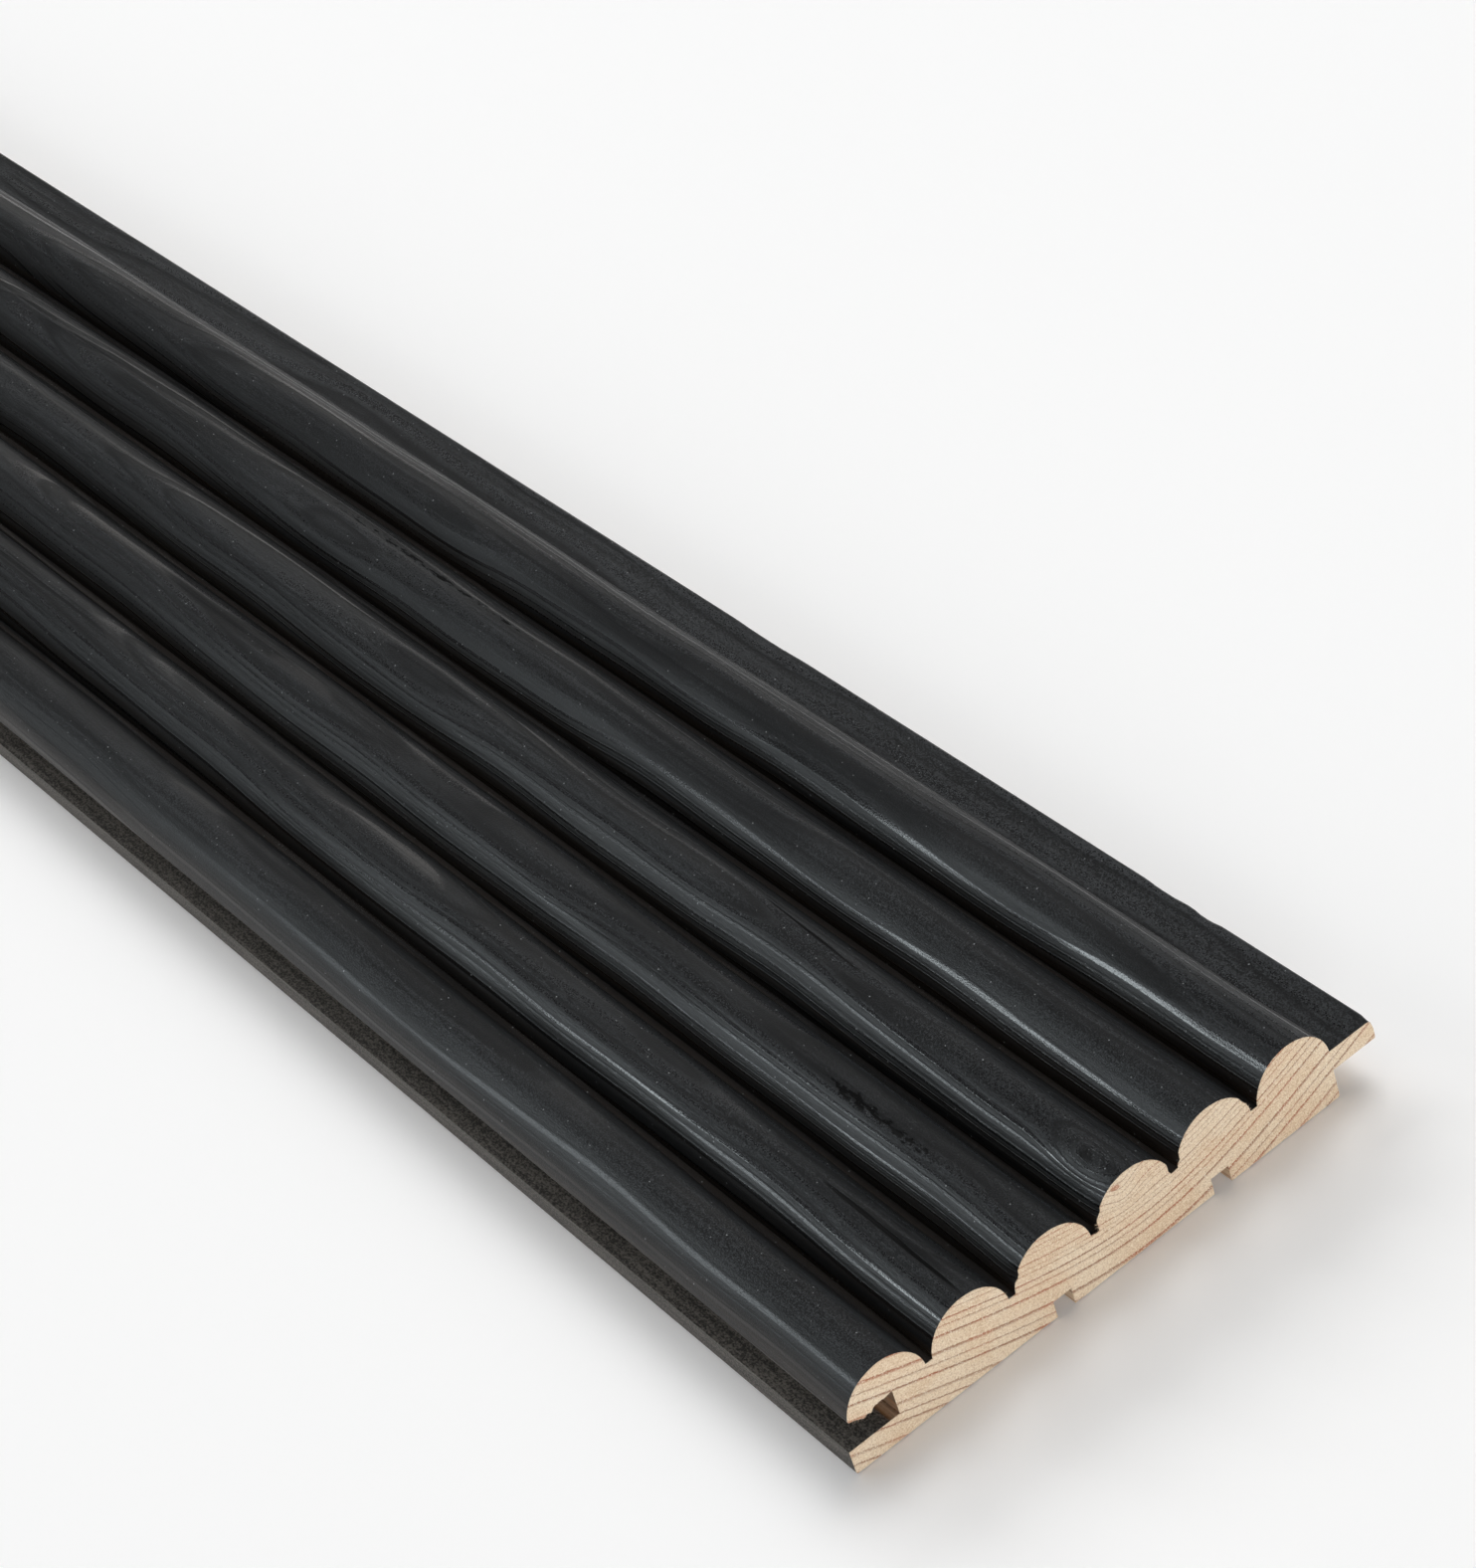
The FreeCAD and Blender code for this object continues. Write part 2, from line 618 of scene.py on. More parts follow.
@dataclass
class Outline:
    """Points round the section, each with the zone of the stretch that starts at it."""

    section: Section
    points: list[Corner] = field(default_factory=list)
    zones: list[Zone] = field(default_factory=list)

    def add(self, zone: Zone, point: Corner) -> None:
        """Adds one point."""
        self.points.append(point)
        self.zones.append(zone)

    def line(self, zone: Zone, start: Corner, end: Corner, spacing: float) -> None:
        """Adds a straight stretch, without its end.

        Args:
            zone: The stretch's zone.
            start: First corner.
            end: Corner that the next stretch starts at.
            spacing: Longest distance between points.
        """
        length = math.dist(start, end)
        pieces = max(1, math.ceil(length / spacing))
        for index in range(pieces):
            share = index / pieces
            self.add(zone, (start[0] + (end[0] - start[0]) * share, start[1] + (end[1] - start[1]) * share))

    def arc(self, zone: Zone, centre: Corner, radius: float, start: float, end: float, pieces: int) -> None:
        """Adds a round stretch, without its end.

        Args:
            zone: The stretch's zone.
            centre: Centre of the arc.
            radius: Radius of the arc.
            start: Angle of the first point in degrees, from Y towards Z.
            end: Angle that the next stretch starts at.
            pieces: Number of chords.
        """
        for index in range(pieces):
            angle = math.radians(start + (end - start) * index / pieces)
            self.add(zone, (centre[0] + radius * math.cos(angle), centre[1] + radius * math.sin(angle)))

    def trace(self) -> "Outline":
        """Goes round the section: over the face from the upper lip, then round tongue, back and groove."""
        self.trace_face()
        self.trace_tongue()
        self.trace_back()
        self.trace_groove()
        return self

    def trace_face(self) -> None:
        """The reeds and the valleys between them."""
        s = self.section
        foot = math.degrees(math.asin((s.valley_floor - s.reed_axis) / s.reed_radius))
        tip_angle, _, _ = self.upper_lip()
        arc_length = s.reed_radius * math.radians(180 - 2 * foot)
        pieces = round(arc_length / s.reed_step)
        for index in range(s.reed_count):
            middle = s.reed_middle(index)
            start = tip_angle if index == 0 else 180 - foot
            self.arc(Zone.REED, (middle, s.reed_axis), s.reed_radius, start, foot, pieces)
            right = (middle + s.reed_half, s.valley_floor)
            if index < s.reed_count - 1:
                left = (right[0] + s.valley_width, s.valley_floor)
                self.line(Zone.VALLEY, right, left, s.valley_width / 3)

    def upper_lip(self) -> tuple[float, Corner, float]:
        """The round corner between the first reed and the groove's ceiling.

        Returns:
            The angle on the reed's arc where it starts, its centre, and where it meets the ceiling.
        """
        s = self.section
        height = s.groove_ceiling + s.upper_lip_radius
        reach = s.reed_radius - s.upper_lip_radius
        centre = (s.reed_middle(0) - math.sqrt(reach ** 2 - (height - s.reed_axis) ** 2), height)
        angle = math.degrees(math.atan2(height - s.reed_axis, centre[0] - s.reed_middle(0)))
        return angle, centre, centre[0]

    def trace_tongue(self) -> None:
        """The tongue, and the shoulder under it."""
        s = self.section
        tip = s.shoulder + s.tongue_reach
        face, back, coarse = s.tongue_face_radius, s.tongue_back_radius, 2 * s.fine_step
        self.line(Zone.SHOULDER, (s.shoulder, s.valley_floor), (s.shoulder, s.tongue_top), s.fine_step)
        self.line(Zone.TONGUE_TOP, (s.shoulder, s.tongue_top), (tip - face, s.tongue_top), s.fine_step)
        self.arc(Zone.TONGUE_TIP, (tip - face, s.tongue_top - face), face, 90, 0, 4)
        self.line(Zone.TONGUE_TIP, (tip, s.tongue_top - face), (tip, s.tongue_back + back), s.fine_step)
        self.arc(Zone.TONGUE_BACK, (tip - back, s.tongue_back + back), back, 0, -90, 2)
        self.line(Zone.TONGUE_BACK, (tip - back, s.tongue_back), (s.shoulder, s.tongue_back), coarse)
        edge = s.back_edge_radius
        self.line(Zone.SHOULDER, (s.shoulder, s.tongue_back), (s.shoulder, edge), coarse)
        self.arc(Zone.SHOULDER, (s.shoulder - edge, edge), edge, 0, -90, 3)

    def trace_back(self) -> None:
        """The back with its relief grooves, up to the lower lip's edge."""
        s = self.section
        edge = s.back_edge_radius
        middle = s.lip_edge + s.cover_width / 2 + s.relief_offset
        here = (s.shoulder - edge, 0.0)
        for side in (0.5, -0.5):
            near = middle + side * s.relief_spacing + s.relief_width / 2
            far = near - s.relief_width
            corners = [(near, 0.0), (near, s.relief_depth), (far, s.relief_depth), (far, 0.0)]
            self.line(Zone.BACK, here, corners[0], s.plain_step)
            for start, end in zip(corners, corners[1:]):
                self.line(Zone.RELIEF, start, end, 2 * s.fine_step)
            here = corners[-1]
        self.line(Zone.BACK, here, (s.lip_edge + edge, 0.0), s.plain_step)
        self.arc(Zone.LIP_EDGE, (s.lip_edge + edge, edge), edge, -90, -180, 3)

    def trace_groove(self) -> None:
        """The lower lip's edge and the groove, up to the first reed."""
        s = self.section
        edge = s.back_edge_radius
        _, centre, ceiling_start = self.upper_lip()
        corners = [
            (s.lip_edge, edge),
            (s.lip_edge, s.lower_lip),
            (s.groove_wall, s.lower_lip),
            (s.groove_wall, s.groove_ceiling),
            (ceiling_start, s.groove_ceiling),
        ]
        zones = (Zone.LIP_EDGE, Zone.GROOVE_FLOOR, Zone.GROOVE_WALL, Zone.GROOVE_CEILING)
        for zone, start, end in zip(zones, corners, corners[1:]):
            self.line(zone, start, end, s.torn_step if zone is Zone.GROOVE_CEILING else s.fine_step)
        tip_angle, _, _ = self.upper_lip()
        self.arc(Zone.REED, centre, s.upper_lip_radius, 270, tip_angle, 3)

    def arrays(self) -> tuple[np.ndarray, np.ndarray]:
        """The points, and the outward direction at each.

        Returns:
            Two arrays of Y and Z, one row to a point.
        """
        points = np.array(self.points)
        ahead = np.roll(points, -1, axis=0) - points
        ahead /= np.linalg.norm(ahead, axis=1, keepdims=True)
        side = np.stack([-ahead[:, 1], ahead[:, 0]], axis=1)
        both = side + np.roll(side, 1, axis=0)
        both /= np.linalg.norm(both, axis=1, keepdims=True)
        return points, both / np.maximum((both * side).sum(axis=1, keepdims=True), 0.5)


@dataclass(frozen=True)
class Chip:
    """A place where the saw broke wood away from the sawn end's edge, or a knock took a dent."""

    x: float
    y: float
    z: float
    length: float
    width: float
    depth: float

    def depth_at(self, x: np.ndarray, y: np.ndarray, z: np.ndarray) -> np.ndarray:
        """How deep the chip is at each place.

        Args:
            x: Places along the board.
            y: Places across the board.
            z: Heights over the back.

        Returns:
            The depths.
        """
        along = (x - self.x) / self.length
        across = ((y - self.y) ** 2 + (z - self.z) ** 2) / self.width ** 2
        return self.depth * np.exp(-(along ** 2 + across) ** 2)


@dataclass(frozen=True)
class TornCeiling:
    """The wood that the cutter left hanging from the groove's ceiling at the sawn ends."""

    drop: float = 1.25
    fade: float = 3.5
    past_lip: Span = (2.4, 4.4)
    before_wall: Span = (0.2, 1.2)
    deep_part: Span = (7.4, 6.2)
    shallow_share: float = 0.25
    level: float = 0.65
    teeth_to_mm: float = 0.62
    tooth_start: float = 0.2
    tooth_skew: float = 0.02
    tooth_depth: float = 0.35
    ripple: float = 0.12
    ripple_turn: float = 4.3

    def hang(self, section: Section, y: np.ndarray, from_end: np.ndarray) -> np.ndarray:
        """How far the wood hangs down.

        Args:
            section: The board's section.
            y: Places across the board.
            from_end: Distances from the nearest sawn end.

        Returns:
            The lengths of the torn wood, 0 outside the groove.
        """
        lip, wall = section.lip_edge, section.groove_wall
        deep = step(y, lip + self.deep_part[0], lip + self.deep_part[1])
        inner = deep * (1.0 - self.shallow_share) + self.shallow_share
        saw = fraction(y * self.teeth_to_mm + self.tooth_start + self.tooth_skew * from_end)
        teeth = saw * self.tooth_depth + np.sin(y * self.ripple_turn) * self.ripple
        inside = step(y, lip + self.past_lip[0], lip + self.past_lip[1])
        inside = inside * step(y, wall - self.before_wall[0], wall - self.before_wall[1])
        near = np.exp(-from_end / self.fade)
        return inside * near * np.clip(inner * (self.level + teeth), 0, 1) * self.drop


@dataclass(frozen=True)
class StainRun:
    """How far the stain ran past the face, and how much of it reached each place; in the groove the part
    stain is also painted shade on the deep part and the wall.
    """

    # Part stain in the groove and on its wall: painted shade on the groove's deep part and wall, where the
    # wood is bare.
    groove: float = 0.4
    groove_fade: Span = (0.8, 4.6)
    wall: float = 0.48
    under_tongue: float = 5.0
    below_face: float = 0.1
    back: float = 0.45
    back_reach: float = 3.0


@dataclass
class BoardMesh:
    """The whole board as one closed mesh, with its raised grain, chips and sawn ends."""

    section: Section
    rings: YearRings
    half_length: float
    near_stretch: float = 530.0
    near_step: float = 5.4
    far_step: float = 30.0
    end_step: float = 0.4
    spot_step: float = 1.8
    spot_share: float = 0.2
    spot_growth: float = 0.5
    spot_core: float = 0.3
    arris: float = 0.12
    cap_step: float = 0.74
    far_cap_step: float = 1.15
    grain_depth: float = 0.08
    tongue_grain: float = 0.7
    row_growth: float = 0.06
    end_growth: float = 0.3
    flat: Span = (0.6, 0.25)
    swell_free_end: float = 25.0
    foot: Span = (0.2, 1.4)
    ceiling: TornCeiling = TornCeiling()
    stain_run: StainRun = StainRun()
    saw_depth: float = 0.09
    saw_mark: float = 0.03
    saw_slant: Span = (0.55, -0.83)
    saw_marks_to_mm: float = 3.1
    late_rise: float = 0.05
    scatter: float = 0.28
    rim_clearance: float = 0.45
    sharp_angle: float = 38.0
    swells: tuple[Wave, ...] = (
        Wave(0.085, 173.0, 0.83, 0.3),
        Wave(0.06, 97.0, -0.71, 2.6),
        Wave(0.022, 41.0, 1.25, 4.4),
    )
    chips: tuple[Chip, ...] = (
        Chip(1200.0, -20.6, 14.5, 1.6, 0.8, 0.55),
        Chip(1200.0, -2.4, 14.8, 1.2, 0.7, 0.35),
        Chip(1200.0, 13.6, 12.2, 2.2, 0.9, 0.45),
        Chip(1200.0, 15.4, 13.0, 1.4, 0.7, 0.5),
        Chip(1200.0, 31.2, 15.0, 1.3, 0.8, 0.4),
        Chip(1200.0, -3.8, 11.6, 1.8, 0.8, 0.4),
        Chip(1200.0, 60.0, 10.4, 2.0, 1.0, 0.3),
        Chip(1157.0, 60.0, 10.6, 3.0, 1.6, 0.3),
        Chip(1146.0, 60.0, 10.6, 4.5, 1.6, 0.22),
        Chip(1024.0, 60.0, 10.8, 9.0, 1.4, 0.2),
        Chip(644.0, 60.0, 9.0, 9.0, 2.4, 0.5),
        Chip(-402.0, 60.0, 10.0, 12.0, 2.2, 0.6),
        Chip(-1200.0, -19.0, 13.2, 1.8, 0.8, 0.5),
        Chip(-1200.0, 17.0, 12.6, 1.5, 0.8, 0.45),
    )
    streaks: tuple[Spot, ...] = (
        Spot(1034.0, 22.9, 46.0, 1.7, slant=-0.012),
        Spot(1010.0, 39.6, 75.0, 0.9, slant=-0.02),
        Spot(1150.0, -13.7, 22.0, 1.5, slant=-0.02),
        Spot(1179.0, -29.6, 20.0, 1.6, slant=-0.02),
        Spot(1000.0, 5.4, 40.0, 1.1, slant=-0.012),
        Spot(930.0, -11.0, 55.0, 1.3, slant=0.01),
        Spot(870.0, -30.0, 60.0, 1.4, slant=-0.008),
        Spot(800.0, 24.5, 70.0, 1.5, slant=0.008),
        Spot(560.0, 4.0, 80.0, 1.6, slant=-0.008),
        Spot(330.0, 41.0, 90.0, 1.5, slant=0.006),
        Spot(120.0, -14.0, 80.0, 1.6, slant=-0.006),
        Spot(-190.0, 23.0, 90.0, 1.7, slant=0.008),
        Spot(-480.0, -31.0, 85.0, 1.5, slant=-0.006),
        Spot(-760.0, 5.0, 80.0, 1.7, slant=0.008),
        Spot(-1010.0, -13.0, 75.0, 1.5, slant=-0.008),
    )

    def __post_init__(self) -> None:
        """Traces the outline once."""
        self.outline = Outline(self.section).trace()
        self.points, self.outward = self.outline.arrays()

    def stations(self) -> np.ndarray:
        """Places of the cross rows, close together at the ends, along the near stretch and at knots."""
        last = self.half_length - self.arris
        spots = [(spot.x, spot.length) for spot in (*self.rings.knots, self.rings.pin_knot.bend)]
        spots += [(chip.x, 2.0 * chip.length) for chip in self.chips]
        places = [last]
        while places[-1] > -last:
            here = places[-1]
            from_end = min(last - here, last + here)
            past = max(0.0, last - here - self.near_stretch)
            step_here = min(self.near_step + self.row_growth * past, self.far_step,
                            self.end_step + self.end_growth * from_end)
            for middle, reach in spots:
                clear = self.spot_growth * abs(here - middle) - self.spot_core * reach
                step_here = min(step_here, max(self.spot_step, self.spot_share * reach, clear))
            places.append(here - step_here)
        places = np.array(places)
        return last + (places - last) * (2 * last) / (last - places[-1])

    def weights(self, *shares: tuple[Zone, float]) -> np.ndarray:
        """A weight for each outline point by its zone, 0 where the zone isn't named."""
        table = dict(shares)
        return np.array([table.get(zone, 0.0) for zone in self.outline.zones])

    def foot_fade(self) -> np.ndarray:
        """Fades the reeds' relief out towards their feet, so that the valleys' corners stay true."""
        s = self.section
        return step(self.points[:, 1], s.valley_floor + self.foot[0], s.valley_floor + self.foot[1])

    def spread(self, x: np.ndarray) -> tuple[np.ndarray, np.ndarray, np.ndarray]:
        """Places of the planed surface, one row to each place along and one column to an outline point."""
        along = x[:, None] + 0.0 * self.points[None, :, 0]
        return along, self.points[None, :, 0] + 0.0 * along, self.points[None, :, 1] + 0.0 * along

    def relief(self, x: np.ndarray) -> np.ndarray:
        """How far the surface lies inside the planed section.

        Args:
            x: Places of the rows.

        Returns:
            Depths, one row to a place and one column to an outline point.
        """
        along, y, z = self.spread(x)
        count = self.rings.count(self.rings.bent(self.rings.level(along, y, z), along, y, z))
        grained = self.weights((Zone.REED, 1.0), (Zone.TONGUE_TOP, self.tongue_grain))
        grain = grained * step(np.abs(self.outward[:, 0]), *self.flat) * self.grain_depth
        depth = grain * (1.0 - self.rings.ridge(count))
        lowest = sum(swell.height for swell in self.swells)
        swelling = sum(swell.at(along, y) for swell in self.swells) + lowest
        reeds = self.weights((Zone.REED, 1.0)) * self.foot_fade()
        inner = step(np.abs(along), self.half_length, self.half_length - self.swell_free_end)
        depth += reeds * swelling * inner
        hang = self.ceiling.hang(self.section, y, self.half_length - np.abs(along))
        depth -= self.weights((Zone.GROOVE_CEILING, 1.0)) * hang
        for chip in self.chips:
            depth += chip.depth_at(along, y, z)
        return depth

    def stain(self) -> np.ndarray:
        """How much stain each outline point took, 1 where it was brushed and 0 where it is bare; the
        groove's part stain is also painted shade.
        """
        s, run = self.section, self.stain_run
        y, z = self.points.T
        wall = s.groove_wall
        brushed = np.where(z > s.tongue_top - run.below_face, 1.0, 0.0)
        deep = step(y, wall - run.groove_fade[0], wall - run.groove_fade[1])
        groove = run.groove + (1.0 - run.groove) * deep
        under_tongue = step(y, s.shoulder + run.under_tongue, s.shoulder + s.tongue_reach)
        back = run.back * step(y, s.lip_edge + run.back_reach, s.lip_edge)
        stain = self.weights(*((zone, 1.0) for zone in (*STAINED, Zone.LIP_EDGE)))
        # The groove's part stain is painted shade inside the groove.
        stain += self.weights((Zone.GROOVE_FLOOR, 1.0), (Zone.GROOVE_CEILING, 1.0)) * groove
        stain += self.weights((Zone.GROOVE_WALL, run.wall))
        stain += self.weights((Zone.TONGUE_BACK, 1.0)) * under_tongue
        stain += self.weights((Zone.SHOULDER, 1.0)) * brushed
        return stain + self.weights((Zone.BACK, 1.0)) * back

    def stained_faces(self) -> np.ndarray:
        """Whether each stretch of the outline is stained all over."""
        return np.array([zone in STAINED for zone in self.outline.zones])

    def cap_points(self, rim: np.ndarray, spacing: float, seed: int) -> np.ndarray:
        """Scattered points inside a sawn end.

        Args:
            rim: The end's outline.
            spacing: Distance between the points.
            seed: Start of the random draws.

        Returns:
            The points, one row each.
        """
        draws = np.random.default_rng(seed)
        low, high = rim.min(axis=0), rim.max(axis=0)
        grid = np.stack(np.meshgrid(np.arange(low[0], high[0], spacing),
                                    np.arange(low[1], high[1], spacing)), axis=-1).reshape(-1, 2)
        grid += draws.uniform(-self.scatter, self.scatter, grid.shape) * spacing
        start, end = rim, np.roll(rim, -1, axis=0)
        rise = (grid[:, None, 1] > start[None, :, 1]) != (grid[:, None, 1] > end[None, :, 1])
        slope = (end[:, 0] - start[:, 0]) / np.where(end[:, 1] == start[:, 1], 1.0, end[:, 1] - start[:, 1])
        crossing = start[None, :, 0] + (grid[:, None, 1] - start[None, :, 1]) * slope[None]
        inside = (rise & (grid[:, None, 0] < crossing)).sum(axis=1) % 2 == 1
        edge = (end - start)[None]
        share = ((grid[:, None] - start[None]) * edge).sum(-1) / (edge ** 2).sum(-1)
        nearest = start[None] + np.clip(share, 0, 1)[..., None] * edge
        clear = np.linalg.norm(grid[:, None] - nearest, axis=-1).min(axis=1) > self.rim_clearance * spacing
        return grid[inside & clear]

    def cap(self, rim: np.ndarray, spacing: float, seed: int) -> tuple[np.ndarray, list[tuple[int, ...]]]:
        """Triangles that close a sawn end.

        Args:
            rim: The end's outline.
            spacing: Distance between the points inside it.
            seed: Start of the random draws.

        Returns:
            The points, the outline's first, and the triangles.
        """
        inner = self.cap_points(rim, spacing, seed)
        places = [Vector(point) for point in np.concatenate([rim, inner])]
        loop = [(index, (index + 1) % len(rim)) for index in range(len(rim))]
        found, _, faces, origins, _, _ = delaunay_2d_cdt(places, loop, [], 1, 1e-6)
        source = [origin[0] for origin in origins]
        if len(found) != len(places):
            raise ValueError("points of a sawn end fell together")
        return np.array(places), [tuple(source[index] for index in face) for face in faces]

    def sawn_relief(self, points: np.ndarray, side: float) -> np.ndarray:
        """How far the sawn end's inside lies behind its rim, from saw marks and the harder ring lines.

        Args:
            points: Places on the end, one row each.
            side: 1 for the near end, -1 for the far one.

        Returns:
            The depths, one to a place.
        """
        y, z = points.T
        count = self.rings.count(self.rings.level(side * self.half_length + 0.0 * y, y, z))
        across = (y * self.saw_slant[0] + z * self.saw_slant[1]) * self.saw_marks_to_mm
        uneven = 0.6 + 0.4 * np.sin(y * 0.4 + z * 0.17)
        marks = np.sin(across + 0.8 * np.sin(y * 0.23)) * uneven
        return self.saw_depth + self.saw_mark * marks - self.late_rise * self.rings.latewood(count)

    def build(self) -> bpy.types.Object:
        """Makes the board's object.

        Returns:
            The object, with the slots 0 for the stained surfaces, 1 for the other long surfaces and 2 for
            the sawn ends.
        """
        rows = self.stations()
        count = len(self.points)
        depth = self.relief(rows)
        skin = np.empty((len(rows), count, 3))
        skin[..., 0] = rows[:, None]
        skin[..., 1:] = self.points[None] - self.outward[None] * depth[..., None]
        vertices = [skin.reshape(-1, 3)]
        stain = [np.tile(self.stain(), len(rows))]
        faces = self.skin_faces(len(rows), count)
        slots = np.tile(np.where(self.stained_faces(), 0, 1), len(rows) - 1).tolist()
        total = len(rows) * count
        ends = ((1.0, 0, self.cap_step, 11), (-1.0, len(rows) - 1, self.far_cap_step, 12))
        for side, row, spacing, seed in ends:
            rim = skin[row, :, 1:] - self.outward * self.arris
            points, triangles = self.cap(rim, spacing, seed)
            inset = np.zeros(len(points))
            inset[count:] = self.sawn_relief(points[count:], side)
            vertices.append(np.column_stack([side * (self.half_length - inset), points]))
            stain.append(np.zeros(len(points)))
            arris = self.arris_faces(row * count, total, count, side)
            closing = [self.turned(face, points, total, side) for face in triangles]
            faces += arris + closing
            slots += [2] * (len(arris) + len(closing))
            total += len(points)
        mesh = bpy.data.meshes.new(BOARD_NODE + "_dressed")
        places = np.concatenate(vertices)
        mesh.from_pydata(places * MM, [], faces)
        mesh.polygons.foreach_set("material_index", slots)
        mesh.polygons.foreach_set("use_smooth", [True] * len(faces))
        self.carry(mesh, places, np.concatenate(stain))
        self.unroll(mesh, len(rows), count)
        mesh.set_sharp_from_angle(angle=math.radians(self.sharp_angle))
        mesh.update()
        board = bpy.data.objects.new("reeded_board", mesh)
        bpy.context.scene.collection.objects.link(board)
        return board

    def carry(self, mesh: bpy.types.Mesh, places: np.ndarray, stain: np.ndarray) -> None:
        """Gives the mesh's points the numbers that the finishes read.

        Args:
            mesh: The board's mesh.
            places: The points in millimetres, one row each.
            stain: How much stain each point took.
        """
        x, y, z = places.T
        carried = {
            STAIN_ATTRIBUTE: stain,
            RINGS_ATTRIBUTE: self.rings.level(x, y, z),
            KNOT_ATTRIBUTE: self.rings.knot_share(x, y, z),
            STREAK_ATTRIBUTE: np.minimum(sum(streak.closeness(x, y, z) for streak in self.streaks), 1.0),
        }
        for name, values in carried.items():
            layer = mesh.attributes.new(name, "FLOAT", "POINT")
            layer.data.foreach_set("value", values.astype(np.float32))

    @staticmethod
    def skin_faces(rows: int, count: int) -> list[tuple[int, ...]]:
        """Four-sided faces of the long surfaces, facing outwards.

        Args:
            rows: Number of cross rows.
            count: Points round the outline.

        Returns:
            The faces, row by row.
        """
        first = np.arange(rows - 1)[:, None] * count + np.arange(count)[None]
        after = np.arange(rows - 1)[:, None] * count + (np.arange(count)[None] + 1) % count
        quads = np.stack([first, after, after + count, first + count], axis=-1).reshape(-1, 4)
        return [tuple(quad) for quad in quads.tolist()]

    @staticmethod
    def arris_faces(start: int, rim: int, count: int, side: float) -> list[tuple[int, ...]]:
        """The narrow faces between a sawn end's rim and the long surfaces.

        Args:
            start: First point of the long surfaces' last row.
            rim: First point of the sawn end.
            count: Points round the outline.
            side: 1 for the near end, -1 for the far one.

        Returns:
            The faces, once round the outline.
        """
        faces = []
        for index in range(count):
            after = (index + 1) % count
            face = (start + index, rim + index, rim + after, start + after)
            faces.append(face if side > 0 else face[::-1])
        return faces

    @staticmethod
    def turned(face: tuple[int, ...], points: np.ndarray, start: int, side: float) -> tuple[int, ...]:
        """A cap's triangle by its mesh's points, turned so that it faces out of the board's end.

        Args:
            face: The triangle, by the cap's own points.
            points: The cap's points.
            start: Number of the cap's first point in the mesh.
            side: 1 for the near end, -1 for the far one.

        Returns:
            The triangle, by the mesh's points.
        """
        a, b, c = (points[index] for index in face)
        area = (b[0] - a[0]) * (c[1] - a[1]) - (b[1] - a[1]) * (c[0] - a[0])
        shifted = tuple(start + index for index in face)
        return shifted if area * side > 0 else shifted[::-1]

    def unroll(self, mesh: bpy.types.Mesh, rows: int, count: int) -> None:
        """Lays the long surfaces out in three strips and the ends beside them, in one square map.

        Args:
            mesh: The board's mesh.
            rows: Number of cross rows.
            count: Points round the outline.
        """
        strips, gap, ends_apart, margin = 3, 6.0, 30.0, 0.01
        around = np.concatenate([[0.0], np.cumsum(np.linalg.norm(
            np.roll(self.points, -1, axis=0) - self.points, axis=1))])
        strip_length = 2 * self.half_length / strips
        square = strips * (around[-1] + gap)
        corners = np.empty(len(mesh.loops), np.int64)
        mesh.loops.foreach_get("vertex_index", corners)
        places = np.empty(len(mesh.vertices) * 3)
        mesh.vertices.foreach_get("co", places)
        places = places.reshape(-1, 3) / MM
        layout = np.empty((len(corners), 2))
        quads = (rows - 1) * count * 4
        column = corners[:quads].reshape(-1, 4) % count
        closing = np.tile(np.arange(count), rows - 1) == count - 1
        length_round = around[column]
        length_round[closing] = np.where(column[closing] == 0, around[-1], around[count - 1])
        along = places[corners[:quads], 0].reshape(-1, 4) + self.half_length
        strip = np.clip(np.floor(along.mean(axis=1, keepdims=True) / strip_length), 0, strips - 1)
        layout[:quads, 0] = (along - strip * strip_length).ravel()
        layout[:quads, 1] = (length_round + strip * (around[-1] + gap)).ravel()
        ends = places[corners[quads:]]
        layout[quads:, 0] = strip_length + 3 * gap + ends[:, 2] + np.where(ends[:, 0] > 0, 0.0, ends_apart)
        layout[quads:, 1] = ends[:, 1] + self.section.cover_width
        layout = layout / square * (1.0 - 2 * margin) + margin
        mesh.uv_layers.new(name=BAKE_MAP).data.foreach_set("uv", layout.ravel())


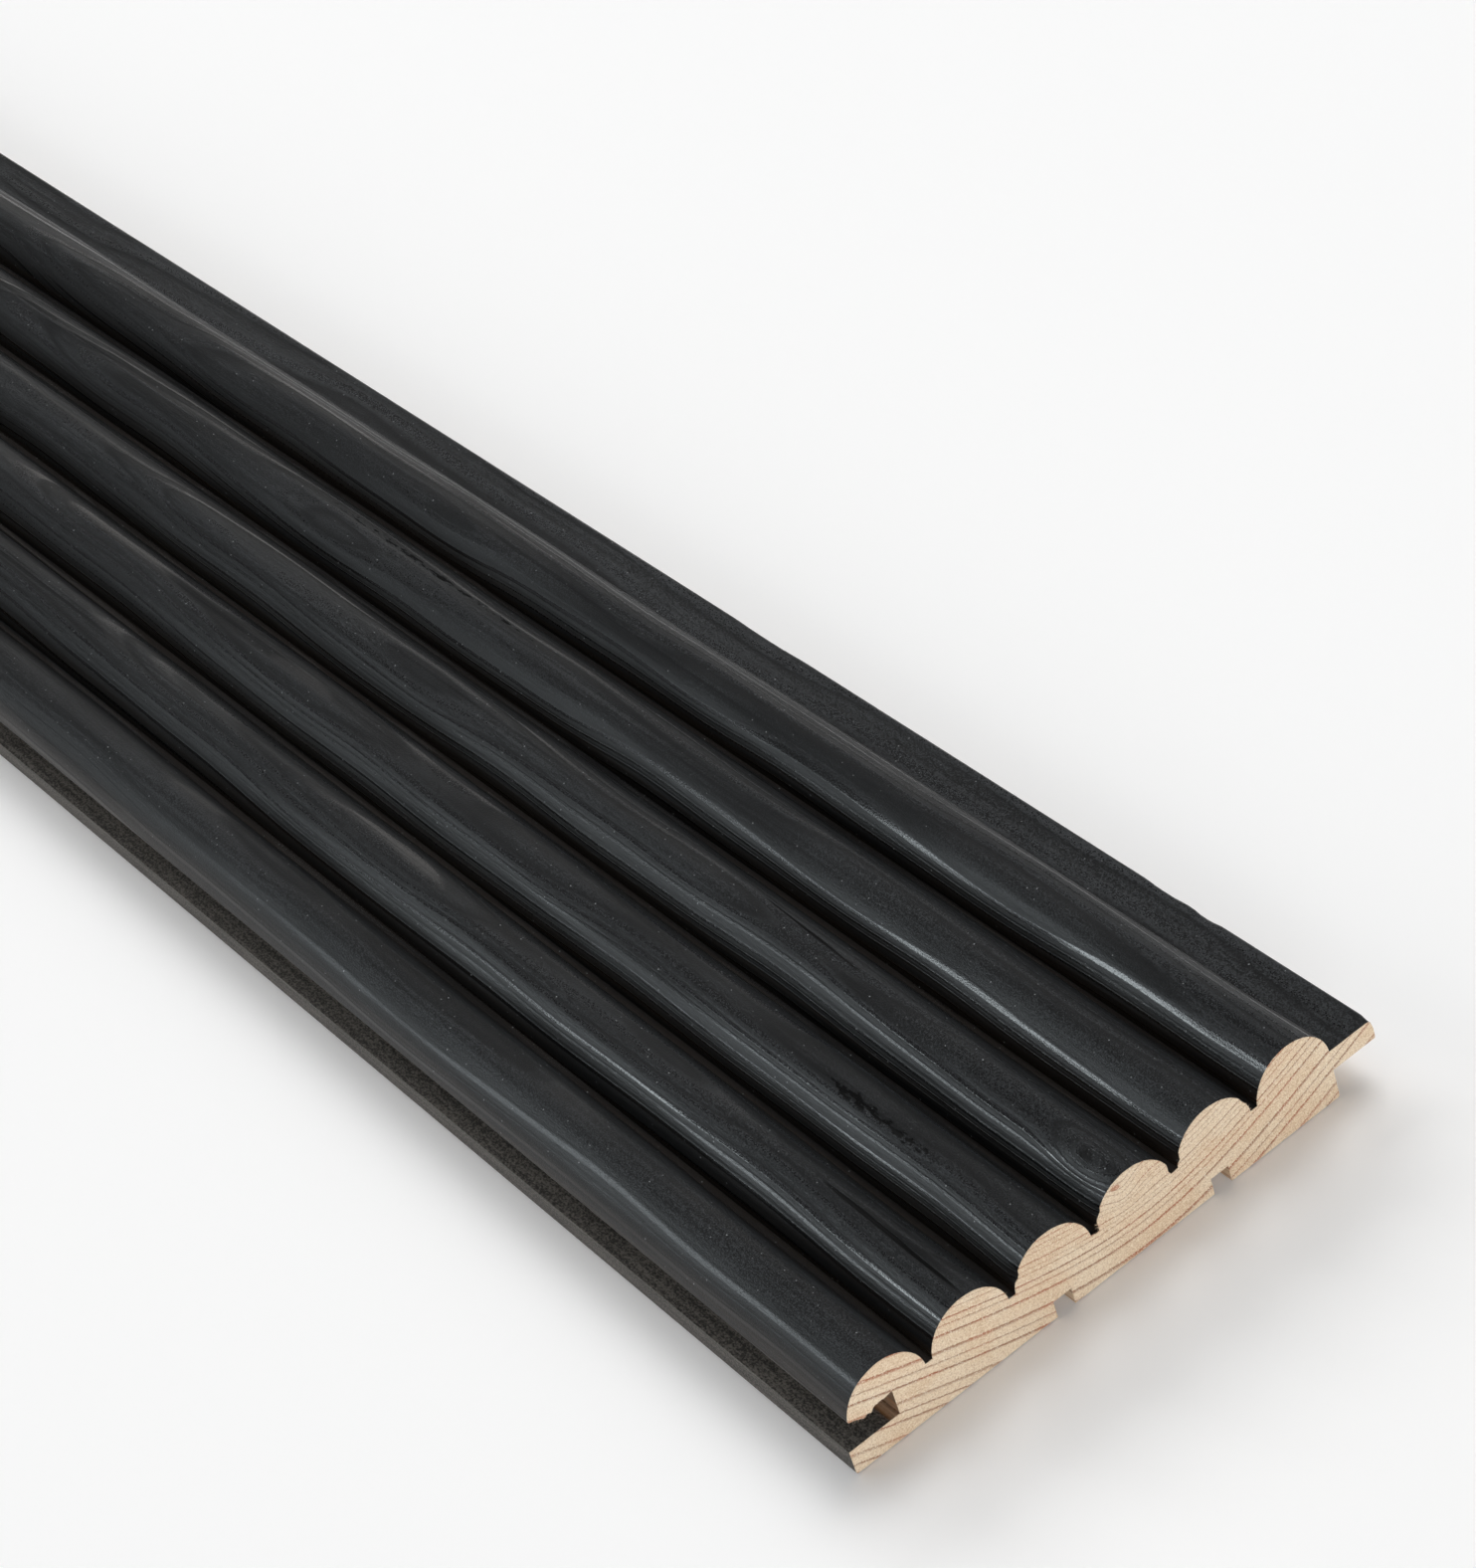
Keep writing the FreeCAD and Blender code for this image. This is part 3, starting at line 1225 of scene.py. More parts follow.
class FibreTree(NodeTree):
    """Geometry Nodes that stand torn wood fibres along a sawn edge. Its own lengths are in metres."""

    ROOT_DEPTH = 0.0001
    TIP_SHIFT = 0.0002
    BOW = 0.00012
    CHORDS = 4
    SIDES = 4
    TIP_SHARE = 0.15
    STRAY = (0.12, 0.9, 0.9)
    SIZES = (0.35, 1.15)

    def __init__(self) -> None:
        """Builds the tree once, with named inputs for its sizes."""
        super().__init__(bpy.data.node_groups.new("torn_fibres", "GeometryNodeTree"))
        face = self.tree.interface
        face.new_socket("Geometry", in_out="OUTPUT", socket_type="NodeSocketGeometry")
        self.sockets = {
            name: face.new_socket(name, in_out="INPUT", socket_type=kind).identifier
            for name, kind in (
                ("Geometry", "NodeSocketGeometry"), ("Spacing", "NodeSocketFloat"),
                ("Length", "NodeSocketFloat"), ("Thickness", "NodeSocketFloat"),
                ("Seed", "NodeSocketInt"), ("Finish", "NodeSocketMaterial"),
            )
        }
        self.build()

    def blade(self, length: bpy.types.NodeSocket, thickness: bpy.types.NodeSocket) -> bpy.types.NodeSocket:
        """One bent, tapering blade that stands on the origin.

        Args:
            length: The blade's length.
            thickness: Half of its width at the foot.

        Returns:
            The blade's mesh.
        """
        tip = self.socket("ShaderNodeCombineXYZ", {}, {"X": self.TIP_SHIFT, "Z": length})
        half = self.socket("ShaderNodeVectorMath", {"operation": "SCALE"}, {0: tip, "Scale": 0.5})
        middle = self.socket("ShaderNodeVectorMath", {"operation": "ADD"}, {0: half, 1: (-self.BOW, 0, 0)})
        spine = self.socket("GeometryNodeCurveQuadraticBezier", {}, {
            "Resolution": self.CHORDS, "Start": (0, 0, -self.ROOT_DEPTH), "Middle": middle, "End": tip,
        })
        share = self.socket("GeometryNodeSplineParameter", {}, {}, "Factor")
        taper = self.socket("ShaderNodeMapRange", {}, {
            "Value": share, "To Min": 1.0, "To Max": self.TIP_SHARE,
        })
        tapered = self.socket("GeometryNodeSetCurveRadius", {}, {0: spine, "Radius": taper})
        ring = self.socket("GeometryNodeCurvePrimitiveCircle", {}, {
            "Resolution": self.SIDES, "Radius": thickness,
        }, "Curve")
        blade = self.node("GeometryNodeCurveToMesh", {}, {
            "Curve": tapered, "Profile Curve": ring, "Fill Caps": True,
        })
        if "Scale" in blade.inputs:
            self.tree.links.new(taper, blade.inputs["Scale"])
        return blade.outputs[0]

    def carried(self, kind: str, name: str) -> bpy.types.NodeSocket:
        """An attribute that the edge's points carry."""
        return self.socket("GeometryNodeInputNamedAttribute", {"data_type": kind}, {"Name": name})

    def build(self) -> None:
        """Blades on points along the edge, turned the way it faces, fewer and shorter where it tore less."""
        given = self.node("NodeGroupInput").outputs
        curve = self.socket("GeometryNodeMeshToCurve", {}, {"Mesh": given["Geometry"]})
        points = self.socket("GeometryNodeResampleCurve", {"mode": "LENGTH"}, {
            "Curve": curve, "Length": given["Spacing"],
        })
        facing = self.carried("FLOAT_VECTOR", OUTWARD_ATTRIBUTE)
        tear = Value(self, self.carried("FLOAT", TEAR_ATTRIBUTE))
        stray = self.socket("FunctionNodeRandomValue", {"data_type": "FLOAT_VECTOR"}, {
            "Min": tuple(-reach for reach in self.STRAY), "Max": self.STRAY, "Seed": given["Seed"],
        })
        aim = self.socket("ShaderNodeVectorMath", {"operation": "ADD"}, {0: facing, 1: stray})
        turn = self.socket("FunctionNodeAlignRotationToVector", {"axis": "Z"}, {"Vector": aim})
        size = self.value("FunctionNodeRandomValue", {"data_type": "FLOAT"}, {
            "Min": self.SIZES[0], "Max": self.SIZES[1], "Seed": given["Seed"],
        }, 1)
        drawn = self.value("FunctionNodeRandomValue", {"data_type": "FLOAT"}, {"Seed": given["Seed"]}, 1)
        kept = self.socket("FunctionNodeCompare", {"operation": "LESS_THAN"}, {0: drawn, 1: tear})
        placed = self.socket("GeometryNodeInstanceOnPoints", {}, {
            "Points": points, "Instance": self.blade(given["Length"], given["Thickness"]),
            "Selection": kept, "Rotation": turn, "Scale": size * tear,
        })
        real = self.socket("GeometryNodeRealizeInstances", {}, {0: placed})
        dressed = self.socket("GeometryNodeSetMaterial", {}, {0: real, "Material": given["Finish"]})
        self.node("NodeGroupOutput", {}, {0: dressed})

    def grow(self, name: str, edge: bpy.types.Mesh, sizes: dict[str, Any]) -> bpy.types.Object:
        """Grows fibres along an edge and bakes them to a plain mesh.

        Args:
            name: The new object's name.
            edge: Mesh of the edge's line, with its attributes.
            sizes: Values of the tree's inputs by name.

        Returns:
            The object, with no modifier left.
        """
        carrier = bpy.data.objects.new(name, edge)
        bpy.context.scene.collection.objects.link(carrier)
        modifier = carrier.modifiers.new("fibres", "NODES")
        modifier.node_group = self.tree
        for label, value in sizes.items():
            modifier[self.sockets[label]] = value
        graph = bpy.context.evaluated_depsgraph_get()
        grown = bpy.data.meshes.new_from_object(carrier.evaluated_get(graph))
        carrier.modifiers.remove(modifier)
        carrier.data = grown
        return carrier


@dataclass
class TornFibres:
    """The fibres that the saw left standing at the board's ends."""

    board: BoardMesh
    spacing: float = 0.22
    length: float = 1.0
    thickness: float = 0.06
    flank: Span = (4.5, 0.5)
    least: float = 0.15
    lip_clear: Span = (1.5, 2.5)
    tip_clear: Span = (9.0, 8.0)
    back_clear: float = 1.2
    root_depth: float = 0.05
    outward_tilt: float = 0.15

    def tears(self) -> np.ndarray:
        """How torn the edge is at each outline point, from 0 to 1."""
        b = self.board
        y, z = b.points.T
        valley = b.section.valley_floor
        lip, shoulder = b.section.lip_edge, b.section.shoulder
        low_flank = b.weights((Zone.REED, 1.0)) * step(z, valley + self.flank[0], valley + self.flank[1])
        patches = 0.5 + 0.5 * np.sin(y * 0.9 + 1.1) * np.sin(y * 0.37 + z * 0.5)
        tears = low_flank * (self.least + (1.0 - self.least) * patches ** 2)
        tears += b.weights((Zone.VALLEY, 0.35), (Zone.GROOVE_CEILING, 0.8), (Zone.RELIEF, 0.3),
                           (Zone.TONGUE_BACK, 0.3), (Zone.GROOVE_WALL, 0.25))
        clear = step(y, lip + self.lip_clear[0], lip + self.lip_clear[1])
        clear *= step(y, shoulder + self.tip_clear[0], shoulder + self.tip_clear[1])
        return tears * clear * np.where(z < self.back_clear, 0.0, 1.0)

    def edge(self, side: float) -> bpy.types.Mesh:
        """The line of the sawn edge at one end, with the way it faces and how torn it is.

        Args:
            side: 1 for the near end, -1 for the far one.

        Returns:
            A mesh of one closed line.
        """
        b = self.board
        row = np.array([side * (b.half_length - b.arris)])
        ring = b.points - b.outward * (b.relief(row)[0][:, None] + self.root_depth)
        inset = b.half_length - b.arris * 1.5
        places = np.column_stack([np.full(len(ring), side * inset), ring]) * MM
        mesh = bpy.data.meshes.new("sawn_edge")
        mesh.from_pydata(places, [(i, (i + 1) % len(ring)) for i in range(len(ring))], [])
        outward = mesh.attributes.new(OUTWARD_ATTRIBUTE, "FLOAT_VECTOR", "POINT")
        facing = np.column_stack([np.full(len(ring), -self.outward_tilt * side), b.outward])
        outward.data.foreach_set("vector", facing.astype(np.float32).ravel())
        tear = mesh.attributes.new(TEAR_ATTRIBUTE, "FLOAT", "POINT")
        tear.data.foreach_set("value", self.tears().astype(np.float32))
        return mesh

    def build(self, tree: FibreTree, name: str, side: float, finish: bpy.types.Material) -> bpy.types.Object:
        """Grows the fibres at one end.

        Args:
            tree: The Geometry Nodes that grow them.
            name: The piece's name.
            side: 1 for the near end, -1 for the far one.
            finish: The fibres' material.

        Returns:
            The piece.
        """
        sizes = {
            "Spacing": self.spacing * MM, "Length": self.length * MM, "Thickness": self.thickness * MM,
            "Seed": 5 if side > 0 else 6, "Finish": finish,
        }
        return tree.grow(name, self.edge(side), sizes)


@dataclass(frozen=True)
class BareWood:
    """Softwood as it was cut: pale early wood with darker, reddish ring lines."""

    rings: YearRings
    pale: Colour = (0.83, 0.675, 0.495)
    warm: Colour = (0.77, 0.585, 0.4)
    line: Colour = (0.33, 0.155, 0.085)
    resin: Colour = (0.42, 0.13, 0.06)
    knot: Colour = (0.2, 0.085, 0.035)
    patch: Grain = Grain((0.01, 0.09, 0.16), 1.0, 0.5, 31.0)
    pith_fade: Span = (1.0, 4.0)
    pith_share: float = 0.35
    warm_span: Span = (0.35, 0.65)
    resin_span: Span = (0.46, 0.58)
    knot_span: Span = (0.74, 0.86)
    knot_share: float = 0.8

    def colour(self, tree: ShaderTree, level: Value, fibre: Value, depth: Number) -> bpy.types.NodeSocket:
        """The wood's colour at each place.

        Args:
            tree: The material's tree.
            level: The rings' level.
            fibre: Noise of the fibres.
            depth: How dark the ring lines are, 1 on a cross cut.

        Returns:
            The colour's socket.
        """
        rings = self.rings
        count = rings.count(level)
        late = rings.latewood(count) * rings.strength(count)
        near_pith = step(level - rings.narrow_from, *self.pith_fade)
        late = late * (1.0 - near_pith * self.pith_share)
        patch = tree.noise(self.patch)
        base = tree.mix(step(patch, *self.warm_span), self.pale, self.warm)
        base = tree.mix(larger(fibre - 0.45, 0.0) * 0.5, base, self.line)
        line = tree.mix(step(patch, *self.resin_span) * depth, self.line, self.resin)
        lined = tree.mix(late * (0.85 + fibre * 0.8) * depth, base, line)
        knot = step(tree.given(KNOT_ATTRIBUTE), *self.knot_span) * self.knot_share
        return tree.mix(knot, lined, self.knot)


@dataclass(frozen=True)
class StainMasks:
    """What the stain's colour, roughness and relief share: its noises, and where each mark lies."""

    fibre: Value
    hair: Value
    sand: Value
    cloud: Value
    shelf: Value
    dusty: Value
    tears: Value
    splits: Value
    from_eye: Value
    late: Value
    hollow: Value
    low: Value
    streak: Value
    eye: Value


@dataclass(frozen=True)
class BlackStain:
    """Semi-gloss black stain over raised grain, with sandy dust in it."""

    rings: YearRings
    black: Colour = (0.0044, 0.0047, 0.0052)
    # Pale grey of the grit on the tops: partly dust, partly painted light on the crests and the tongue top.
    grit_and_top_light_grey: Colour = (0.033, 0.0362, 0.039)
    brown: Colour = (0.017, 0.012, 0.0085)
    # Dust grey, for the dust specks and for the painted highlight round the knot's eye.
    dust: Colour = (0.34, 0.36, 0.37)
    scar: Colour = (0.0012, 0.001, 0.001)
    ridge_height: float = 0.055
    swelling: float = 0.4
    hollow_depth: float = 0.035
    rib_height: float = 0.11
    fibre_height: float = 0.03
    hair_height: float = 0.02
    sand_height: float = 0.075
    fibre: Grain = Grain((0.014, 1.3, 1.3), 3.0, 0.6, 11.0)
    hair: Grain = Grain((0.1, 3.6, 3.6), 2.0, 0.6, 23.0)
    sand: Grain = Grain((3.0, 3.6, 3.6), 1.0, 0.6, 41.0)
    cloud: Grain = Grain((0.008, 0.42, 0.42), 2.0, 0.6, 17.0)
    torn: Grain = Grain((0.4, 1.5, 1.5), 2.0, 0.65, 53.0)
    shoulder: Span = (50.1, 50.7)
    flank: Span = (16.5, 12.0)
    crest: Span = (14.9, 18.7)
    face_rise: float = 2.0
    dusty_reed: Span = (-41.0, -43.0)
    speck_cells: float = 0.62
    speck_rim: Span = (0.13, 0.05)
    speck_share: float = 0.7
    grit_weights: tuple[float, float, float, float] = (0.22, 0.2, 0.85, 0.25)
    grit_span: Span = (0.64, 0.98)
    hollow_cover: float = 0.7
    streak_span: Span = (0.9, 0.66)
    brown_span: Span = (0.78, 1.12)
    brown_share: float = 0.9
    eye_raggedness: Span = (1.5, 0.7)
    eye_span: Span = (1.5, 0.6)
    eye_rim: Span = (0.5, 1.2)
    # Ring of pale specks round the knot's eye: painted highlight.
    eye_highlight_rim: Span = (4.5, 2.0)
    eye_highlight_span: Span = (0.72, 0.84)
    eye_highlight_share: float = 0.4
    tear_patches: float = 3.2
    tear_span: Span = (0.62, 0.9)
    tear_rim: Span = (0.02, 0.2)
    split_span: Span = (0.25, 0.5)
    tear_depth: float = 0.2
    split_depth: float = 0.25
    eye_depth: float = 0.05
    dullness: float = 0.48
    polish: float = 0.28
    polish_lost: float = 0.4
    sand_dulls: float = 0.3
    streak_dulls: float = 0.26
    dust_dulls: float = 0.04
    wound_dulls: float = 0.4
    gloss: float = 0.5
    tears: tuple[Spot, ...] = (
        Spot(1149.0, -14.0, 6.5, 1.0, slant=-0.02),
        Spot(1161.0, -14.3, 9.5, 0.75, slant=-0.03),
        Spot(951.0, 25.8, 30.0, 0.5, slant=-0.01),
    )
    cracks: tuple[Spot, ...] = (
        Spot(1179.0, -30.35, 19.0, 0.5, slant=-0.025),
        Spot(1109.0, 7.6, 15.0, 0.3, slant=-0.05),
        Spot(826.0, -31.2, 34.0, 0.4, slant=0.02),
    )

    def specks(self, tree: ShaderTree) -> Value:
        """Grains of dust caught in the stain, as a mask.

        Args:
            tree: The material's tree.

        Returns:
            The mask, 1 on a grain.
        """
        place = tree.socket("ShaderNodeMapping", {}, {
            "Vector": tree.place, "Scale": (self.speck_cells,) * 3,
        })
        cells = tree.node("ShaderNodeTexVoronoi", {}, {"Vector": place, "Scale": 1.0})
        drawn = tree.value("ShaderNodeSeparateColor", {}, {0: cells.outputs["Color"]})
        return step(Value(tree, cells.outputs["Distance"]), *self.speck_rim) * step(drawn, 0.5, 1.0)

    def wounds(self, tree: ShaderTree, fibre: Value) -> tuple[Value, Value]:
        """Places where the planer tore the grain out, and fine splits.

        Args:
            tree: The material's tree.
            fibre: Noise of the fibres.

        Returns:
            Masks of the tears and of the splits.
        """
        ragged = tree.y + (fibre - 0.5) * 0.8
        patch = tree.noise(self.torn)
        torn, split = (
            reduce(larger, [spot.closeness(tree.x, ragged, tree.z) for spot in spots])
            for spots in (self.tears, self.cracks)
        )
        torn_out = step(root(torn) * 0.9 + (patch - 0.5) * self.tear_patches, *self.tear_span)
        top = self.top(tree)
        return torn_out * step(torn, *self.tear_rim) * top, step(split, *self.split_span) * top

    def top(self, tree: ShaderTree) -> Value:
        """1 on the reeds and 0 below their feet."""
        return step(tree.z, self.rings.face_foot, self.rings.face_foot + self.face_rise)

    def masks(self, tree: ShaderTree) -> StainMasks:
        """Where each mark of the wood and of the stain is.

        Args:
            tree: The material's tree.

        Returns:
            The noises and masks.
        """
        rings = self.rings
        count = rings.count(rings.bent(tree.given(RINGS_ATTRIBUTE), tree.x, tree.y, tree.z))
        dusty = step(tree.y, *self.dusty_reed)
        fibre, hair, sand, cloud = (tree.noise(g) for g in (self.fibre, self.hair, self.sand, self.cloud))
        shelf = step(tree.y, *self.shoulder)
        tears, splits = self.wounds(tree, fibre)
        from_eye = rings.pin_knot.away(tree.x, tree.y)
        from_eye = from_eye + (hair - 0.5) * self.eye_raggedness[0] + (sand - 0.5) * self.eye_raggedness[1]
        return StainMasks(
            fibre, hair, sand, cloud, shelf, dusty, tears, splits, from_eye,
            late=rings.raised(count) * rings.strength(count) * (1.0 - dusty * self.polish_lost),
            hollow=rings.hollow(count),
            low=step(tree.z, *self.flank) * (1.0 - shelf),
            streak=tree.given(STREAK_ATTRIBUTE) * step(fibre + sand * 0.5, *self.streak_span),
            eye=step(from_eye, *self.eye_span) * self.top(tree),
        )

    def colour(self, tree: ShaderTree, m: StainMasks) -> bpy.types.NodeSocket:
        """Black, browner in the valleys, dusty, and deep black in the wounds; grey grit on the crests and
        more on the tongue top is dust and partly painted light on these tops, and pale specks round the
        knot's eye are painted highlight.

        Args:
            tree: The material's tree.
            m: The noises and masks.

        Returns:
            The colour's socket.
        """
        # Painted light on the tops: the pale grit shows only on the crests, and more on the tongue top.
        painted_light_tops = larger(step(tree.z, *self.crest), m.shelf) * (m.shelf * 0.8 + 1.0)
        fibre, hair, sand, cloud = self.grit_weights
        mixed = m.fibre * fibre + m.hair * hair + m.sand * sand + m.cloud * cloud
        grit = step(mixed, *self.grit_span)
        grit_and_top_light = grit * painted_light_tops * (1.0 - m.hollow * self.hollow_cover) * (1.0 - m.streak)
        black = tree.mix(grit_and_top_light, self.black, self.grit_and_top_light_grey)
        browned = m.low * step(m.fibre + m.cloud, *self.brown_span) * self.brown_share
        black = tree.mix(browned, black, self.brown)
        black = tree.mix(larger(larger(m.tears, m.splits), m.eye * 0.8), black, self.scar)
        # Painted highlight: pale dust-grey specks in a ring round the knot's eye, mixed with the real dust
        # specks.
        eye_highlight_ring = step(m.from_eye, *self.eye_highlight_rim) * step(m.from_eye, *self.eye_rim)
        eye_highlight_specks = eye_highlight_ring * step(m.sand * 0.7 + m.hair * 0.5, *self.eye_highlight_span)
        dust_and_eye_highlight = larger(self.specks(tree) * self.speck_share, eye_highlight_specks * (1.0 - m.low) * self.eye_highlight_share)
        return tree.mix(dust_and_eye_highlight, black, self.dust)

    def roughness(self, m: StainMasks) -> Value:
        """Shiny along the hard lines, dull in the dust, the streaks and the wounds.

        Args:
            m: The noises and masks.

        Returns:
            The roughness.
        """
        dull = (m.sand - 0.5) * self.sand_dulls + m.streak * self.streak_dulls + m.dusty * self.dust_dulls
        even = self.dullness - m.late * self.polish
        return even + dull * (1.0 - m.late * 0.25) + (m.tears + m.splits) * self.wound_dulls

    def height(self, tree: ShaderTree, m: StainMasks) -> Value:
        """The fine relief in millimetres: ridges, fibres, sand, the knot, and the wounds' hollows.

        Args:
            tree: The material's tree.
            m: The noises and masks.

        Returns:
            The height.
        """
        knot = self.rings.pin_knot
        grain = m.fibre * self.fibre_height + m.hair * self.hair_height + m.sand * self.sand_height
        grain = grain * (1.0 - m.late * 0.65) * (1.0 - m.low * 0.5)
        ridge = m.late * self.ridge_height * (1.0 - m.low * 0.75)
        swell = knot.bend.closeness(tree.x, tree.y, tree.z) * self.swelling
        raised = ridge + grain + m.cloud * self.rib_height + knot.rings_height(m.from_eye) + swell
        sunk = m.hollow * self.hollow_depth + m.tears * self.tear_depth + m.splits * self.split_depth
        return raised - sunk - m.eye * self.eye_depth

    def material(self) -> bpy.types.Material:
        """The stained surfaces' material."""
        tree = ShaderTree("black_stain")
        masks = self.masks(tree)
        colour, height = self.colour(tree, masks), self.height(tree, masks)
        return tree.finish(colour, self.roughness(masks), height, self.gloss)


@dataclass(frozen=True)
class Overspray:
    """Planed bare wood with the black stain run over its edges, thin and dusty in the groove, where its
    brown soak and grime are also painted shade on the deep part and the wall.
    """

    wood: BareWood
    stain: BlackStain
    # Orange-brown of thin stain soaked in at the edges; in the groove it is painted shade.
    soaked_and_groove_shade: Colour = (0.26, 0.105, 0.03)
    grimy: Colour = (0.024, 0.022, 0.0195)
    dusty: Colour = (0.15, 0.138, 0.122)
    grazed_width: float = 9.0
    grazed_share: float = 0.75
    line_depth: float = 0.62
    fibre: Grain = Grain((0.02, 2.6, 2.6), 3.0, 0.6, 7.0)
    sand: Grain = Grain((2.0, 2.8, 2.8), 2.0, 0.6, 3.0)
    fleck: Grain = Grain((0.11, 4.6, 4.6), 1.0, 0.5, 71.0)
    run: Grain = Grain((0.06, 0.9, 0.9), 3.0, 0.65, 5.0)
    fleck_span: Span = (0.6, 0.72)
    fleck_share: float = 0.3
    stain_span: Span = (0.2, 0.8)
    soak_span: Span = (0.15, 0.6)
    dust_span: Span = (0.48, 0.86)
    late_height: float = 0.03
    fibre_height: float = 0.05
    run_height: float = 0.02
    sand_height: float = 0.04
    dullness: float = 0.74
    stain_shine: float = 0.12
    gloss: float = 0.4

    def material(self) -> bpy.types.Material:
        """The material of the back, the reliefs, the groove and under the tongue."""
        tree = ShaderTree("bare_wood")
        rings = self.wood.rings
        fibre = tree.noise(self.fibre)
        level = tree.given(RINGS_ATTRIBUTE) + (fibre - 0.5) * 0.3
        sand = tree.noise(self.sand)
        across = tree.y - rings.middle
        grazed = bell(across * across * (1.0 / self.grazed_width ** 2))
        depth = (1.0 - grazed * self.grazed_share) * self.line_depth
        bare = self.wood.colour(tree, level, fibre, depth)
        flecks = step(tree.noise(self.fleck), *self.fleck_span) * self.fleck_share
        bare = tree.mix(flecks, bare, self.wood.line)
        given = tree.given(STAIN_ATTRIBUTE)
        edge = tree.noise(self.run) - 0.5
        mask = step(given + edge * 0.9 * step(given, 0.0, 0.12), *self.stain_span)
        # Brown soak: thin stain at the edges, and painted shade in the groove.
        soaked_and_groove_shade = tree.mix(step(given, *self.soak_span), bare, self.soaked_and_groove_shade)
        dust = step(fibre * 0.3 + sand + edge * 0.4, *self.dust_span)
        stained = tree.mix(dust, self.grimy, self.dusty)
        colour = tree.mix(mask, soaked_and_groove_shade, stained)
        late = rings.latewood(rings.count(level))
        height = late * self.late_height + fibre * self.fibre_height
        height = height + edge * self.run_height + sand * mask * self.sand_height
        return tree.finish(colour, self.dullness - mask * self.stain_shine, height, self.gloss)


@dataclass(frozen=True)
class SawnWood:
    """The cross-cut ends: bare wood with a fuzzy, slanting saw pattern."""

    wood: BareWood
    fluff: Colour = (0.93, 0.84, 0.68)
    shade: Colour = (0.4, 0.26, 0.165)
    stroke: Grain = Grain((0.5, 1.1, 4.6), 3.0, 0.65, 0.0)
    pore: Grain = Grain((2.6, 3.6, 3.6), 3.0, 0.75, 29.0)
    saw_angle: float = -0.95
    resin_slant: float = 0.3
    resin_stretch: float = 0.55
    resin_span: Span = (0.62, 0.95)
    resin_share: float = 0.8
    fluff_contrast: float = 1.7
    pore_contrast: float = 5.5
    shade_share: float = 0.65
    stroke_height: float = 0.12
    pore_height: float = 0.16
    late_height: float = 0.03
    resin_y: float = 2.0
    resin_z: float = 17.1
    resin_reach: float = 0.75
    dullness: float = 0.85
    gloss: float = 0.25

    def resin_spot(self, tree: ShaderTree) -> Value:
        """The drop of resin under the pin knot, at the rim of the near end, as a mask.

        Args:
            tree: The material's tree.

        Returns:
            The mask, 1 in the drop's middle.
        """
        across = (tree.y - self.resin_y) * (self.resin_stretch / self.resin_reach)
        up = (tree.z - self.resin_z + across * self.resin_slant) * (1.0 / self.resin_reach)
        return bell(across * across + up * up) * step(tree.x, 0.0, 1.0)

    def material(self) -> bpy.types.Material:
        """The sawn ends' material."""
        tree = ShaderTree("sawn_end")
        rings = self.wood.rings
        level = rings.bent(tree.given(RINGS_ATTRIBUTE), tree.x, tree.y, tree.z)
        strokes = tree.noise(self.stroke, self.saw_angle)
        pores = tree.noise(self.pore)
        ragged = level + (strokes - 0.5) * 0.4 + (pores - 0.5) * 0.25
        colour = self.wood.colour(tree, ragged, pores, depth=1.0)
        resin = step(self.resin_spot(tree) + pores * 0.4, *self.resin_span) * self.resin_share
        colour = tree.mix(resin, colour, self.wood.resin)
        tone = (strokes - 0.5) * self.fluff_contrast + (pores - 0.5) * self.pore_contrast
        colour = tree.mix(larger(tone, 0.0), colour, self.fluff)
        colour = tree.mix(larger(-tone, 0.0) * self.shade_share, colour, self.shade)
        late = rings.latewood(rings.count(ragged))
        height = strokes * self.stroke_height + pores * self.pore_height + late * self.late_height
        return tree.finish(colour, self.dullness, height, self.gloss)


class LampUse(Enum):
    """What a lamp does: it lights surfaces, shows in glossy ones, or both."""

    BOTH = "both"
    LIGHT = "light"
    GLOSS = "gloss"


@dataclass(frozen=True)
class Softbox:
    """A square lamp, by what it faces, the way from there to it, and how bright its cloth is."""

    name: str
    aim: tuple[float, float, float]
    distance: float
    turn: float
    rise: float
    width: float
    height: float
    brightness: float
    use: LampUse = LampUse.BOTH
    tint: Colour = WHITE

    def build(self) -> None:
        """Adds the lamp. Its turn is counted from straight behind the board's near end."""
        lamp = bpy.data.lights.new(self.name, "AREA")
        lamp.shape = "RECTANGLE"
        lamp.size = self.width
        lamp.size_y = self.height
        lamp.color = self.tint
        lamp.energy = self.brightness * math.pi * self.width * self.height
        stand = bpy.data.objects.new(self.name, lamp)
        turn, rise = math.radians(self.turn), math.radians(self.rise)
        way = Vector((-math.cos(turn) * math.cos(rise), math.sin(turn) * math.cos(rise), math.sin(rise)))
        stand.location = Vector(self.aim) + way * self.distance
        stand.rotation_euler = (-way).to_track_quat("-Z", "Y").to_euler()
        stand.visible_glossy = self.use is not LampUse.LIGHT
        stand.visible_diffuse = self.use is not LampUse.GLOSS
        stand.visible_camera = False
        bpy.context.scene.collection.objects.link(stand)


